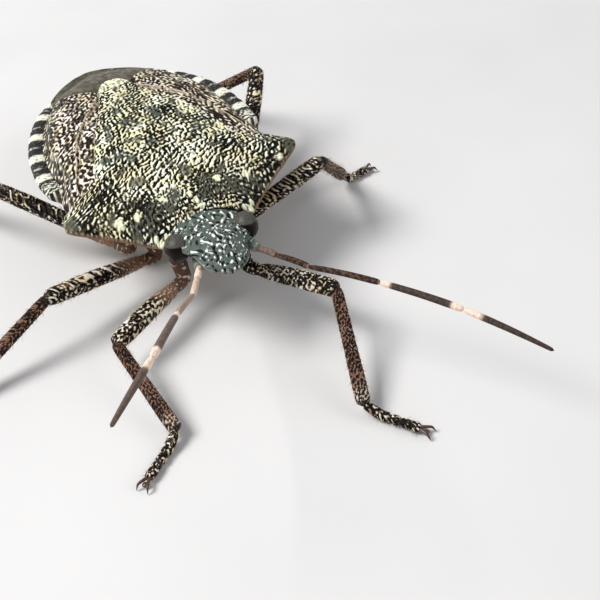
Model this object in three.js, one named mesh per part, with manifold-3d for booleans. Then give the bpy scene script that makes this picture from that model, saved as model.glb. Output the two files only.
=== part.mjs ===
// A shield bug at life size, in millimetres, standing on six feet with its front towards -y.
// Floor frame: x to the bug's left, y to its rear, z up, the feet at z = 0.
// Body frame: the same axes before the body is tipped head-up, with y = 0 at the tip of the head.
// Head frame: y = 0 where the head leaves the pronotum, y negative towards its tip.
import * as THREE from 'three';
import { mergeVertices } from 'three/addons/utils/BufferGeometryUtils.js';
import Module from 'manifold-3d';

const wasm = await Module();
wasm.setup();

// Where the body stands
const floorCentre = [-1.424, 0.311];
const bodyPitch = THREE.MathUtils.degToRad(8.083);
const bodyPivotY = 5;
const bodyRise = 2.998;
const headBase = [-0.03, -1.92, 3.45];
const headPitch = THREE.MathUtils.degToRad(6.5);
const headRoll = THREE.MathUtils.degToRad(5);
const headYaw = THREE.MathUtils.degToRad(-3.5);

// Thicknesses and clearances
const gap = 0.3;
const plateDepth = 0.5;
const rimDepth = 0.3;
const limbRadius = 0.25;
const coxaRadius = 0.26;
const footRadius = 0.25;

// Body outline and heights by distance behind the head's tip: [y, value]
const halfWidth = profile([
  [2.6, 1.3], [2.95, 1.52], [3.6, 2.45], [4.35, 3.66], [4.75, 3.62], [5.2, 3.5], [5.8, 3.42],
  [7, 3.55], [8.1, 3.65], [9.3, 3.55], [10.7, 3.2], [12.17, 2.62], [13.1, 1.95], [13.8, 1.15],
  [14.15, 0.3],
]);
const ridgeHeight = profile([
  [2.5, 0.05], [3, 0.3], [3.75, 0.74], [4.65, 1.08], [5.8, 1.38], [8, 1.6], [10.2, 1.55],
  [11, 1.5], [12.5, 1.25], [14.6, 0.6],
]);
const edgeHeight = profile([
  [2.9, -0.32], [3.6, 0.1], [4.4, 0.52], [5.8, 0.38], [8.1, 0.42], [9.3, 0.56], [10.7, 0.66],
  [12.2, 0.64], [13.1, 0.6], [14.2, 0.5],
]);
const keelHeight = profile([
  [2.6, -1], [3.4, -1.4], [5, -1.5], [7, -1.55], [9, -1.95], [10.5, -1.85], [12.5, -1.1],
  [14.1, 0.1],
]);
const keelFullness = profile([[5, 1.5], [8, 2]]);

// Pronotum: corners beside the head, humeral angles, rear margin over the scutellum
const pronotum = { cornerX: 1.52, cornerY: 3.06, frontY: 3.02, rearY: 5.65, rearCornerX: 2.3 };
// Scutellum: a long triangle with a rounded tongue
const scutellumHalf = profile([
  [5.95, 2.15], [7.5, 1.6], [8.6, 1.15], [9.4, 0.85], [10.2, 0.62], [10.7, 0.42], [10.98, 0.08],
]);
const scutellumY = [5.95, 10.98];
// Front wing: leathery part beside the scutellum, its outer edge inside the abdomen's rim
const wing = { innerY: [6, 10.45], outerY: [5.72, 12.35], tipInset: 0.05 };
const veinRise = 0.06;
const wingInset = profile([[6.6, 0.04], [7.9, 0.74], [12.35, 0.74]]);
// Folded membranes over the end of the abdomen
const membraneHalf = profile([
  [12.35, 1.6], [12.7, 1.5], [13.1, 1.5], [13.6, 1.35], [14.1, 1], [14.45, 0.56], [14.62, 0.12],
]);
const membrane = { tongue: [0.69, 10.8], side: [1.36, 12.45], tail: 14.62, turn: 0.4 };
const veinHeight = 0.07;
const veinCount = 5;
// Abdomen: rim of five notched segments outside the wings
const abdomen = { frontY: 7.8, rearY: 14.1, rimWidth: 0.42, rimEndY: 12.7, notchDepth: 0.07 };
const segmentEnds = [7.4, 8.72, 10.02, 11.42, 12.66, 13.5];
const thorax = { frontY: 3.3, rearY: 7.5, inset: 0.5 };

// Head: half-width, rim and ridge by distance ahead of its base
const headLength = 2;
const headHalf = profile([
  [0, 0.66], [0.1, 0.68], [0.84, 0.68], [0.98, 0.82], [1.12, 0.75], [1.4, 0.69], [1.55, 0.65],
  [1.68, 0.55], [1.82, 0.39], [1.94, 0.2], [2, 0.08],
]);
const headRidge = profile([[0, 0], [0.6, 0.08], [1.3, 0.02], [2, -0.1]]);
const headEdge = profile([[0, 0.3], [1.2, 0.28], [2, 0.18]]);
const headRim = profile([[0, -0.24], [0.8, -0.2], [1.2, -0.15], [2, -0.12]]);
const headKeel = profile([[0, -0.95], [0.8, -0.8], [1.2, -0.64], [1.6, -0.48], [2, -0.31]]);
const eye = { x: 1.01, y: -0.34, z: -0.33, rx: 0.36, ry: 0.41, rz: 0.39, face: 0.98 };
const ocellus = { x: 0.45, y: -0.3, radius: 0.1, rise: 0.06 };

// Limbs in the floor frame: hip, knee, ankle, last joint of the foot
const legs = {
  front_left: [[0.92, -1.82, 1.13], [2.42, -4.74, 1.74], [1.49, -7.76, 0.41], [2.45, -9.13, 0.2]],
  front_right: [[-0.92, -1.3, 1.2], [-3.61, -2.63, 1.1], [-3.2, -5.84, 0.4], [-4.45, -6.8, 0.2]],
  middle_left: [[1.25, 0.32, 0.93], [4.19, -0.71, 2.96], [5.79, 1.28, 0.5], [6.85, 1.45, 0.2]],
  middle_right: [[-1.24, 0.39, 1], [-4.85, -0.48, 1.78], [-8.14, -1.29, 0.42], [-9.66, -2.02, 0.2]],
  hind_left: [[2.35, 1.8, 0.7], [4.86, 5.25, 2.95], [3.3, 8.75, 0.4], [4.2, 10.35, 0.2]],
  hind_right: [[-1.8, 1.39, 0.79], [-4.88, 4.65, 2.55], [-6.9, 8.75, 0.41], [-7.9, 10.35, 0.2]],
};
// Where the coxae leave the underside, in the body frame
const coxaRoots = { front: [0.95, 3.75], middle: [1.15, 5.4], hind: [1.45, 6.6] };
const trochanterLength = 0.45;
const soleHeight = 0.2;
const clawLength = 0.38;
// Feelers: root, ends of the second, third and fourth segments, tip
const feelers = {
  left: [[1.2, -3.25, 2.5], [1.75, -4.6, 2.83], [3.04, -6.25, 2.86], [4.39, -8.14, 2.7],
    [5.69, -10.18, 2.25]],
  right: [[-1.12, -3.04, 2.36], [-1.62, -4.79, 3.7], [-2.43, -6.28, 4.76], [-3.6, -8.21, 5.69],
    [-5.05, -10.03, 6.23]],
};
const beakPath = [
  [-0.1, -2.25, 2.02], [-0.08, -1.95, 1.68], [-0.04, -1.55, 1.42], [0, -1, 1.16], [0, 0.2, 0.88],
  [0, 1.7, 0.66],
];

// A smooth curve through [position, value] stations that never swings past them
function profile(stations) {
  const last = stations.length - 1;
  const steps = stations.slice(1).map(([x, y], i) => [x - stations[i][0], y - stations[i][1]]);
  const slopes = steps.map(([dx, dy]) => dy / dx);
  const tangents = stations.map((_, i) => {
    if (i === 0) return slopes[0];
    if (i === last) return slopes[last - 1];
    const [a, b] = [slopes[i - 1], slopes[i]];
    return a * b > 0 ? (2 * a * b) / (a + b) : 0;
  });
  return (x) => {
    const at = THREE.MathUtils.clamp(x, stations[0][0], stations[last][0]);
    let i = 0;
    while (i < last - 1 && at > stations[i + 1][0]) i += 1;
    const width = steps[i][0];
    const t = (at - stations[i][0]) / width;
    const s = 1 - t;
    return stations[i][1] * s * s * (1 + 2 * t) + stations[i + 1][1] * t * t * (3 - 2 * t)
      + width * t * s * (tangents[i] * s - tangents[i + 1] * t);
  };
}

const lerp = THREE.MathUtils.lerp;
const clamp = THREE.MathUtils.clamp;
const bump = (x, centre, width) => Math.exp(-(((x - centre) / width) ** 2));

// Back of the body: arched from the sharp side edges to the ridge line
function backHeight(x, y) {
  const across = Math.min(Math.abs(x) / halfWidth(y), 1);
  return edgeHeight(y) + (ridgeHeight(y) - edgeHeight(y)) * (1 - across ** 2.2);
}

// Underside of the body: from the rim down to the keel line
function underHeight(x, y) {
  const across = Math.min(Math.abs(x) / halfWidth(y), 1);
  const rim = edgeHeight(y) - rimDepth;
  return rim - (rim - keelHeight(y)) * (1 - across ** keelFullness(y));
}

// Underside of the pronotum, which the thorax follows a gap lower
function pronotumUnder(x, y) {
  const across = Math.min(Math.abs(x) / halfWidth(y), 1);
  return Math.min(backHeight(x, y) - plateDepth, edgeHeight(y) - 0.05)
    - (plateDepth - rimDepth) * (1 - across) + 0.28 * across ** 6;
}

// Top of what lies under the scutellum and wings
const coveredHeight = (x, y) => backHeight(x, y) - plateDepth - gap - 0.04;

// A closed body from points and triangles: doubles welded, slivers dropped, faces outwards
function closedGeometry(points, faces) {
  let geometry = new THREE.BufferGeometry();
  geometry.setAttribute('position', new THREE.Float32BufferAttribute(points.flat(), 3));
  geometry.setIndex(faces.flat());
  geometry = mergeVertices(geometry, 1e-3);
  const index = Array.from(geometry.index.array);
  const position = geometry.attributes.position;
  const kept = [];
  let volume = 0;
  const corner = [0, 1, 2].map(() => new THREE.Vector3());
  for (let i = 0; i < index.length; i += 3) {
    const [a, b, c] = index.slice(i, i + 3);
    if (a !== b && b !== c && c !== a) {
      kept.push(a, b, c);
      [a, b, c].forEach((v, k) => corner[k].fromBufferAttribute(position, v));
      volume += corner[0].dot(corner[1].cross(corner[2]));
    }
  }
  if (volume < 0) {
    for (let i = 0; i < kept.length; i += 3) [kept[i], kept[i + 1]] = [kept[i + 1], kept[i]];
  }
  geometry.setIndex(kept);
  return geometry;
}

// A slab over a plan grid: place(u, v) gives x and y, top and bottom give the two heights
function slab(columns, rows, place, top, bottom) {
  const points = [];
  const faces = [];
  const width = columns.length;
  const layer = width * rows.length;
  for (const height of [top, bottom]) {
    for (const v of rows) {
      for (const u of columns) {
        const [x, y] = place(u, v);
        points.push([x, y, height(x, y, u, v)]);
      }
    }
  }
  const at = (i, j, level) => level * layer + j * width + i;
  for (let j = 0; j < rows.length - 1; j += 1) {
    for (let i = 0; i < width - 1; i += 1) {
      // the diagonal runs the same way on both faces and leans away from the middle
      const lean = columns[i] + columns[i + 1] < 0;
      for (const level of [0, 1]) {
        const [a, b] = [at(i, j, level), at(i + 1, j, level)];
        const [c, d] = [at(i + 1, j + 1, level), at(i, j + 1, level)];
        const pair = lean ? [[a, b, d], [b, c, d]] : [[a, b, c], [a, c, d]];
        faces.push(...pair.map((face) => (level ? face.reverse() : face)));
      }
    }
  }
  const wall = (a, b, c, d) => faces.push([a, c, b], [b, c, d]);
  for (let i = 0; i < width - 1; i += 1) {
    wall(at(i, 0, 0), at(i + 1, 0, 0), at(i, 0, 1), at(i + 1, 0, 1));
    const end = rows.length - 1;
    wall(at(i + 1, end, 0), at(i, end, 0), at(i + 1, end, 1), at(i, end, 1));
  }
  for (let j = 0; j < rows.length - 1; j += 1) {
    wall(at(0, j + 1, 0), at(0, j, 0), at(0, j + 1, 1), at(0, j, 1));
    wall(at(width - 1, j, 0), at(width - 1, j + 1, 0), at(width - 1, j, 1), at(width - 1, j + 1, 1));
  }
  return closedGeometry(points, faces);
}

// A limb: rings of points round an axis; ends may be cut on slanted planes given by their normals
function limb(stations, sides, { startNormal, endNormal, up = [0, 0, 1], floor } = {}) {
  const axis = stations.map(([point]) => new THREE.Vector3(...point));
  const last = axis.length - 1;
  const run = (i) => axis[i + 1].clone().sub(axis[i]).normalize();
  const points = [];
  const faces = [];
  for (let k = 0; k <= last; k += 1) {
    const along = k === 0 ? run(0) : k === last ? run(last - 1) : run(k - 1).add(run(k)).normalize();
    const side = along.clone().cross(new THREE.Vector3(...up)).normalize();
    const rise = side.clone().cross(along);
    const cut = (k === 0 && startNormal) || (k === last && endNormal) || along;
    const [, across, deep = across] = stations[k];
    for (let j = 0; j < sides; j += 1) {
      const turn = (2 * Math.PI * (j + 0.5)) / sides;
      const offset = side.clone().multiplyScalar(across * Math.cos(turn))
        .addScaledVector(rise, deep * Math.sin(turn));
      const slide = -offset.dot(cut) / along.dot(cut);
      const point = axis[k].clone().add(offset).addScaledVector(along, slide);
      if (floor !== undefined) point.z = Math.max(point.z, floor);
      points.push(point.toArray());
    }
  }
  for (let k = 0; k < last; k += 1) {
    for (let j = 0; j < sides; j += 1) {
      const next = (j + 1) % sides;
      const [a, b] = [k * sides + j, k * sides + next];
      faces.push([a, b, b + sides], [a, b + sides, a + sides]);
    }
  }
  for (const end of [0, last]) {
    const centre = new THREE.Vector3();
    for (let j = 0; j < sides; j += 1) {
      centre.add(new THREE.Vector3(...points[end * sides + j]).divideScalar(sides));
    }
    const hub = points.push(centre.toArray()) - 1;
    for (let j = 0; j < sides; j += 1) {
      const rim = [end * sides + j, end * sides + ((j + 1) % sides)];
      faces.push(end === 0 ? [hub, rim[1], rim[0]] : [hub, rim[0], rim[1]]);
    }
  }
  return closedGeometry(points, faces);
}

// Several closed geometries fused into one, keeping the largest body
function fuse(geometries) {
  const solids = geometries.map((geometry) => new wasm.Manifold(new wasm.Mesh({
    numProp: 3,
    vertProperties: new Float32Array(geometry.attributes.position.array),
    triVerts: new Uint32Array(geometry.index.array),
  })));
  const joined = solids.reduce((all, solid) => all.add(solid));
  const largest = joined.decompose().sort((a, b) => b.volume() - a.volume())[0];
  const mesh = largest.getMesh();
  const geometry = new THREE.BufferGeometry();
  geometry.setAttribute('position', new THREE.BufferAttribute(mesh.vertProperties, 3));
  geometry.setIndex(new THREE.BufferAttribute(mesh.triVerts, 1));
  return geometry;
}

const spread = (from, to, count) => Array.from({ length: count + 1 }, (_, i) => lerp(from, to, i / count));
const vec = (point) => new THREE.Vector3(...point);

function addMesh(parent, name, geometry, color, roughness = 0.6, metalness = 0) {
  const mesh = new THREE.Mesh(geometry, new THREE.MeshStandardMaterial({ color, roughness, metalness }));
  mesh.name = name;
  parent.add(mesh);
}

// Colours of the real animal
const colours = {
  back: 0x8a8468, head: 0x5d6a62, wing: 0x857560, membrane: 0x57503a, belly: 0xb5a98a,
  rim: 0x3a3a34, eye: 0x2a1614, limb: 0x8c6f58, foot: 0x6b5646, feeler: 0x6a4a3a,
};

// Pronotum: front margin round the head, sharp side edges out to the humeral angles
function pronotumGeometry() {
  const { cornerX, cornerY, frontY, rearY, rearCornerX } = pronotum;
  const sideY = [cornerY, 3.32, 3.6, 3.95, 4.2, 4.38, 4.6, 4.85, 5.1, 5.35];
  const rows = spread(0, 1, sideY.length - 1);
  const columns = [-1, -0.93, -0.84, -0.72, -0.58, -0.43, -0.28, -0.14, 0,
    0.14, 0.28, 0.43, 0.58, 0.72, 0.84, 0.93, 1];
  const rearEdge = [halfWidth(5.35) - 0.02, 5.35];
  const place = (u, v) => {
    const y = sideY[Math.round(v * (sideY.length - 1))];
    const edgeX = v === 0 ? cornerX : v === 1 ? rearEdge[0] : halfWidth(y);
    const across = Math.abs(u);
    // the middle line runs from the front margin to the rear margin, the sides keep their own y
    const blend = (1 - across ** 2) ** 1.5;
    const rearLine = across * rearEdge[0] < rearCornerX ? rearY
      : lerp(rearY, rearEdge[1], (across * rearEdge[0] - rearCornerX) / (rearEdge[0] - rearCornerX));
    const frontLine = lerp(cornerY, frontY, blend);
    const middle = lerp(frontLine, rearLine, v);
    return [u * edgeX, lerp(middle, y, across ** 3 * (1 - v ** 8))];
  };
  const top = (x, y) => backHeight(x, y) - 0.05 * bump(Math.abs(x), 0.75, 0.35) * bump(y, 3.35, 0.2);
  return slab(columns, rows, place, top, pronotumUnder);
}

function scutellumGeometry() {
  const [frontY, tipY] = scutellumY;
  const columns = [-1, -0.75, -0.5, -0.25, 0, 0.25, 0.5, 0.75, 1];
  const rows = [0, 0.08, 0.18, 0.3, 0.42, 0.54, 0.66, 0.76, 0.85, 0.92, 0.97, 1];
  const place = (u, v) => {
    const y = lerp(frontY, tipY, v);
    return [u * scutellumHalf(y), y];
  };
  const top = (x, y) => backHeight(x, y) + 0.04;
  return slab(columns, rows, place, top, (x, y) => backHeight(x, y) - plateDepth);
}

// Leathery part of a front wing, side = 1 for the left and -1 for the right
function wingGeometry(side) {
  const columns = side > 0 ? [0, 0.12, 0.3, 0.48, 0.66, 0.84, 1] : [-1, -0.84, -0.66, -0.48, -0.3, -0.12, 0];
  const rows = [0, 0.06, 0.14, 0.24, 0.34, 0.44, 0.54, 0.64, 0.74, 0.83, 0.91, 1];
  const place = (u, v) => {
    const innerY = lerp(...wing.innerY, v);
    const outerY = lerp(...wing.outerY, v);
    const inner = scutellumHalf(innerY) + gap;
    const outer = halfWidth(outerY) - wingInset(outerY) - wing.tipInset;
    const t = Math.abs(u);
    return [side * lerp(inner, outer, t), lerp(innerY, outerY, t)];
  };
  // the claval furrow runs beside the scutellum, and one long vein divides the rest
  const relief = (u, v) => veinRise * bump(Math.abs(u), 0.6, 0.12) * (1 - v)
    - veinRise * bump(Math.abs(u), 0.12, 0.08);
  const top = (x, y, u, v) => backHeight(x, y) + relief(u, v);
  const bottom = (x, y) => backHeight(x, y) - plateDepth;
  return slab(columns, rows, place, top, bottom);
}

// Both membranes folded flat over one another, with lengthwise veins and the upper one's edge
function membraneGeometry() {
  const columns = spread(-1, 1, 20);
  const rows = [0, 0.1, 0.22, 0.34, 0.46, 0.58, 0.7, 0.81, 0.9, 0.96, 1];
  const { tongue, side, tail, turn } = membrane;
  const place = (u, v) => {
    const across = Math.abs(u);
    const past = clamp((across - turn) / (1 - turn), 0, 1);
    const near = Math.min(across / turn, 1);
    const startX = across < turn ? tongue[0] * near : lerp(tongue[0], side[0], past);
    const startY = across < turn ? lerp(scutellumY[1] + gap, tongue[1], near ** 2)
      : lerp(tongue[1], side[1], past);
    const endY = lerp(tail, side[1] + 0.25, across ** 2.2);
    const endX = across === 0 ? 0 : membraneHalf(endY);
    return [Math.sign(u) * lerp(startX, endX, v), lerp(startY, endY, v)];
  };
  const veins = (u, v) => {
    const phase = Math.abs(u) * veinCount;
    return veinHeight * Math.cos(Math.PI * (phase - Math.round(phase))) ** 8 * Math.min(1, 6 * v * (1 - v));
  };
  const fold = (u) => 0.08 * clamp(0.5 - u * 4, 0, 1);
  const top = (x, y, u, v) => backHeight(x, y) - 0.06 + veins(u, v) + fold(u);
  return slab(columns, rows, place, top, (x, y) => backHeight(x, y) - plateDepth);
}

// Abdomen: keeled below, hollowed above for the wings, with a rim notched between the segments
function abdomenGeometry() {
  const { frontY, rearY, rimWidth, rimEndY, notchDepth } = abdomen;
  const rows = [0, 0.07, 0.149, 0.22, 0.29, 0.357, 0.43, 0.51, 0.582, 0.65, 0.72, 0.781, 0.802, 0.86, 0.92,
    0.96, 1];
  const outer = [0, rimWidth / 2, rimWidth, rimWidth + 0.03];
  const inner = [0.86, 0.62, 0.4, 0.2];
  const half = (y) => halfWidth(y) - notchDepth * Math.max(...segmentEnds.map((end) => bump(y, end, 0.12)));
  const columns = spread(-1, 1, 2 * (outer.length + inner.length));
  const reach = (i, y) => {
    const w = half(y);
    const shrink = Math.min(1, w / 1.6);
    const shelf = w - outer[3] * shrink;
    return i < outer.length ? w - outer[i] * shrink : shelf * inner[i - outer.length];
  };
  const place = (u, v) => {
    const y = lerp(frontY, rearY, v);
    const i = Math.round((1 - Math.abs(u)) * (outer.length + inner.length));
    return [i === outer.length + inner.length ? 0 : Math.sign(u) * reach(i, y), y];
  };
  const top = (x, y, u) => {
    const onRim = y < rimEndY && (1 - Math.abs(u)) * (outer.length + inner.length) < 2.5;
    return onRim ? edgeHeight(y) : Math.min(coveredHeight(x, y), edgeHeight(y) - 0.1);
  };
  const bottom = (x, y, u) => Math.min(underHeight(x, y), top(x, y, u) - 0.25);
  return slab(columns, rows, place, top, bottom);
}

// Underside of the thorax, below the pronotum, scutellum and wing roots
function thoraxGeometry() {
  const { frontY, rearY, inset } = thorax;
  const columns = [-1, -0.85, -0.68, -0.5, -0.33, -0.16, 0, 0.16, 0.33, 0.5, 0.68, 0.85, 1];
  const rows = spread(0, 1, 10);
  const place = (u, v) => {
    const y = lerp(frontY, rearY, v);
    return [u * (Math.min(halfWidth(y), 3.4) - inset), y];
  };
  const top = (x, y) => Math.min(coveredHeight(x, y), pronotumUnder(x, y) - gap - 0.04);
  const bottom = (x, y) => Math.min(underHeight(x, y), top(x, y) - 0.2);
  return slab(columns, rows, place, top, bottom);
}

// Head: flat cheeks with thin edges round a raised middle lobe, deeper below
function headGeometry() {
  const columns = [-1, -0.88, -0.74, -0.6, -0.46, -0.34, -0.24, -0.12, 0,
    0.12, 0.24, 0.34, 0.46, 0.6, 0.74, 0.88, 1];
  const rows = [0, 0.065, 0.13, 0.2, 0.28, 0.37, 0.41, 0.45, 0.53, 0.62, 0.72, 0.8, 0.88, 0.93, 0.97, 1];
  const place = (u, v) => {
    const ahead = v * headLength;
    const notch = 0.05 * bump(u, 0, 0.3) * v ** 8;
    return [u * headHalf(ahead), -ahead + notch];
  };
  const top = (x, y) => {
    const ahead = clamp(-y, 0, headLength);
    const across = Math.abs(x) / headHalf(ahead);
    const lobe = 0.05 * (bump(x, 0, 0.2) - bump(Math.abs(x), 0.27, 0.06)) * clamp(ahead * 2 - 1, 0, 1);
    const simple = ocellus.rise * bump(Math.hypot(Math.abs(x) - ocellus.x, y - ocellus.y), 0, ocellus.radius);
    return headRim(ahead) + (headRidge(ahead) - headRim(ahead)) * (1 - across ** 2.4) + lobe + simple;
  };
  const bottom = (x, y) => {
    const ahead = clamp(-y, 0, headLength);
    const across = Math.min(Math.abs(x) / headHalf(ahead), 1);
    const rim = headRim(ahead) - headEdge(ahead);
    return rim - (rim - headKeel(ahead)) * (1 - across ** 1.6);
  };
  return slab(columns, rows, (u, v) => place(-u, v), top, bottom);
}

// Compound eye: a dome whose flat inner face meets the side of the head
function eyeGeometry(side) {
  const rings = 7;
  const sides = 16;
  const start = Math.acos(clamp((eye.face - eye.x) / eye.rx, -1, 1));
  const points = [];
  const faces = [];
  for (let k = 0; k <= rings; k += 1) {
    const lift = lerp(start, 0.0001, k / rings);
    for (let j = 0; j < sides; j += 1) {
      const turn = (2 * Math.PI * j) / sides;
      points.push([
        side * (eye.x + eye.rx * Math.cos(lift)),
        eye.y + eye.ry * Math.sin(lift) * Math.cos(turn),
        eye.z + eye.rz * Math.sin(lift) * Math.sin(turn),
      ]);
    }
  }
  const hub = points.push([side * eye.face, eye.y, eye.z]) - 1;
  for (let j = 0; j < sides; j += 1) {
    const next = (j + 1) % sides;
    faces.push([hub, next, j]);
    for (let k = 0; k < rings; k += 1) {
      const [a, b] = [k * sides + j, k * sides + next];
      faces.push([a, b, b + sides], [a, b + sides, a + sides]);
    }
  }
  return closedGeometry(points, faces);
}

// Feeler of five segments, each narrowing where it joins the next
function feelerGeometry(path) {
  const joints = path.map(vec);
  const stations = [];
  const first = joints[0].clone().lerp(joints[1], 0.38);
  const nodes = [joints[0], first, ...joints.slice(1)];
  for (let k = 0; k < nodes.length - 1; k += 1) {
    const lastOne = k === nodes.length - 2;
    for (const [t, swell] of [[0, 0.86], [0.14, 1], [0.5, 1], [0.86, 1]]) {
      const taper = lastOne ? 1 - 0.6 * t ** 2 : 1;
      stations.push([nodes[k].clone().lerp(nodes[k + 1], t).toArray(), limbRadius * swell * taper]);
    }
  }
  stations.push([nodes[nodes.length - 1].toArray(), 0.05]);
  return limb(stations, 10);
}

function beakGeometry() {
  const joints = beakPath.map(vec);
  const curve = new THREE.CatmullRomCurve3(joints);
  const stations = spread(0, 1, 12).map((t) => [
    curve.getPoint(t).toArray(), t > 0.97 ? 0.1 : limbRadius * (1 - 0.15 * t), t > 0.97 ? 0.08 : 0.22,
  ]);
  return limb(stations, 8);
}

// The point of a straight segment's axis on a cutting plane near one of its ends
function cutPoint(joint, along, normal, shift) {
  return joint.clone().addScaledVector(along, shift / along.dot(normal));
}

// One leg: coxa, femur, tibia and foot, parted at each joint by a thin slanted cut
function addLeg(parent, name) {
  const [hip, knee, ankle, toe] = legs[name].map(vec);
  const [pair, sideName] = name.split('_');
  const side = sideName === 'left' ? 1 : -1;
  const [rootX, rootY] = coxaRoots[pair];
  const x = side * rootX;
  const slopeX = (underHeight(x + 0.05, rootY) - underHeight(x - 0.05, rootY)) / 0.1;
  const slopeY = (underHeight(x, rootY + 0.05) - underHeight(x, rootY - 0.05)) / 0.1;
  const down = new THREE.Vector3(slopeX, slopeY, -1).normalize();
  const root = new THREE.Vector3(x, rootY, underHeight(x, rootY)).addScaledVector(down, gap + 0.1);
  root.applyMatrix4(bodyMatrix);
  down.transformDirection(bodyMatrix);

  const runs = [hip.clone().sub(root), knee.clone().sub(hip), ankle.clone().sub(knee)]
    .map((run) => run.normalize());
  const heel = ankle.clone().lerp(toe, 0.3).setZ(soleHeight);
  const footRun = heel.clone().sub(ankle).normalize();
  const cut = [runs[1].clone().add(runs[2]).normalize(), runs[2].clone().add(footRun).normalize()];
  const half = gap / 2;
  const stretch = (from, to, radii) => radii
    .map(([t, radius]) => [from.clone().lerp(to, t).toArray(), radius]);

  // the coxa turns at the hip into a short trochanter in line with the femur
  const ring = hip.clone().addScaledVector(runs[1], trochanterLength);
  const socket = new THREE.SphereGeometry(coxaRadius, 12, 8).translate(...hip.toArray());
  addMesh(parent, `leg_${name}_coxa`, fuse([
    limb(stretch(root, hip, [[0, coxaRadius], [1, limbRadius]]), 10, { startNormal: down, up: [0, 1, 0.2] }),
    mergeVertices(socket.deleteAttribute('uv').deleteAttribute('normal')),
    limb(stretch(hip, ring, [[0, limbRadius], [1, limbRadius - 0.01]]), 10),
  ]), colours.limb);

  const femurStart = ring.clone().addScaledVector(runs[1], gap);
  const femurEnd = cutPoint(knee, runs[1], cut[0], -half);
  addMesh(parent, `leg_${name}_femur`, limb(
    stretch(femurStart, femurEnd, [[0, 0.24], [0.3, 0.27], [0.6, 0.28], [0.84, 0.27], [1, 0.23]]), 10,
    { endNormal: cut[0] },
  ), colours.limb);

  const tibiaStart = cutPoint(knee, runs[2], cut[0], half);
  const tibiaEnd = cutPoint(ankle, runs[2], cut[1], -half);
  addMesh(parent, `leg_${name}_tibia`, limb(
    stretch(tibiaStart, tibiaEnd, [[0, 0.23], [0.12, 0.25], [0.7, 0.25], [0.9, 0.27], [1, 0.24]]), 10,
    { startNormal: cut[0], endNormal: cut[1] },
  ), colours.limb);

  addMesh(parent, `leg_${name}_tarsus`, footGeometry(ankle, heel, toe, footRun, cut[1]), colours.foot);
}

// Foot of three segments on small flat soles, ending in two claws
function footGeometry(ankle, heel, toe, footRun, normal) {
  const start = cutPoint(ankle, footRun, normal, gap / 2);
  const end = toe.clone().setZ(soleHeight);
  const stations = [[start.toArray(), 0.22], [start.clone().lerp(heel, 0.6).toArray(), 0.24]];
  for (const [t, swell] of [[0, 1], [0.3, 1], [0.38, 0.84], [0.46, 1], [0.58, 1], [0.66, 0.84], [0.76, 1],
    [0.94, 0.96], [1, 0.6]]) {
    stations.push([heel.clone().lerp(end, t).toArray(), footRadius * swell]);
  }
  const parts = [limb(stations, 10, { startNormal: normal, floor: 0 })];
  const ahead = end.clone().sub(heel).setZ(0).normalize();
  for (const side of [1, -1]) {
    const out = ahead.clone().cross(new THREE.Vector3(0, 0, 1)).multiplyScalar(side);
    const at = (forward, sideways, height) => end.clone().addScaledVector(ahead, forward * clawLength)
      .addScaledVector(out, sideways * clawLength).setZ(height).toArray();
    parts.push(limb([
      [at(-0.5, 0.1, soleHeight), 0.1], [at(0.2, 0.35, soleHeight + 0.04), 0.1],
      [at(0.75, 0.6, soleHeight - 0.02), 0.07], [at(1, 0.68, 0.07), 0.03],
    ], 6, { floor: 0 }));
  }
  return fuse(parts);
}

const model = new THREE.Group();
model.position.set(-floorCentre[0], -floorCentre[1], 0);

const body = new THREE.Group();
body.rotation.x = -bodyPitch;
body.position.copy(new THREE.Vector3(0, -bodyPivotY, bodyRise).applyEuler(body.rotation));
body.updateMatrix();
const bodyMatrix = body.matrix;
model.add(body);

const head = new THREE.Group();
head.position.set(...headBase);
head.rotation.set(headPitch, headRoll, headYaw, 'ZXY');
model.add(head);

addMesh(body, 'pronotum', pronotumGeometry(), colours.back);
addMesh(body, 'scutellum', scutellumGeometry(), colours.back);
addMesh(body, 'wing_left', wingGeometry(1), colours.wing);
addMesh(body, 'wing_right', wingGeometry(-1), colours.wing);
addMesh(body, 'wing_membranes', membraneGeometry(), colours.membrane, 0.35);
addMesh(body, 'abdomen', abdomenGeometry(), colours.rim);
addMesh(body, 'thorax', thoraxGeometry(), colours.belly);
addMesh(head, 'head', headGeometry(), colours.head);
addMesh(head, 'eye_left', eyeGeometry(1), colours.eye, 0.25);
addMesh(head, 'eye_right', eyeGeometry(-1), colours.eye, 0.25);
addMesh(model, 'beak', beakGeometry(), colours.limb);
addMesh(model, 'antenna_left', feelerGeometry(feelers.left), colours.feeler);
addMesh(model, 'antenna_right', feelerGeometry(feelers.right), colours.feeler);
for (const name of Object.keys(legs)) addLeg(model, name);

export default model;
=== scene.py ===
import bpy
import numpy as np
from mathutils import Matrix, Vector


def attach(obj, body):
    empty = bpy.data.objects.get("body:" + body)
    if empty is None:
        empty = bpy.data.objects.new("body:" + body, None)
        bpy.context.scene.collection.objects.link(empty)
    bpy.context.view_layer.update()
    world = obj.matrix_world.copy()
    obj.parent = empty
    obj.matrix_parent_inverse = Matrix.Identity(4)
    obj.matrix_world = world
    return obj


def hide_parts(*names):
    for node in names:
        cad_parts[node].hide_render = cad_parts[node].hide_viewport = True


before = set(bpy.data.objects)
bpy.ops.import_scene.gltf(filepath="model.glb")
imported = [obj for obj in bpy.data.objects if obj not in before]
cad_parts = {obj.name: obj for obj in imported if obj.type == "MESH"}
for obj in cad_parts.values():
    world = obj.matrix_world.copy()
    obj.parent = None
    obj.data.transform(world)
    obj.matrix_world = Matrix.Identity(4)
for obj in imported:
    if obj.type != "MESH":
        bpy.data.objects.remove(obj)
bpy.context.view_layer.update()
print("frame loaded")

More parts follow.
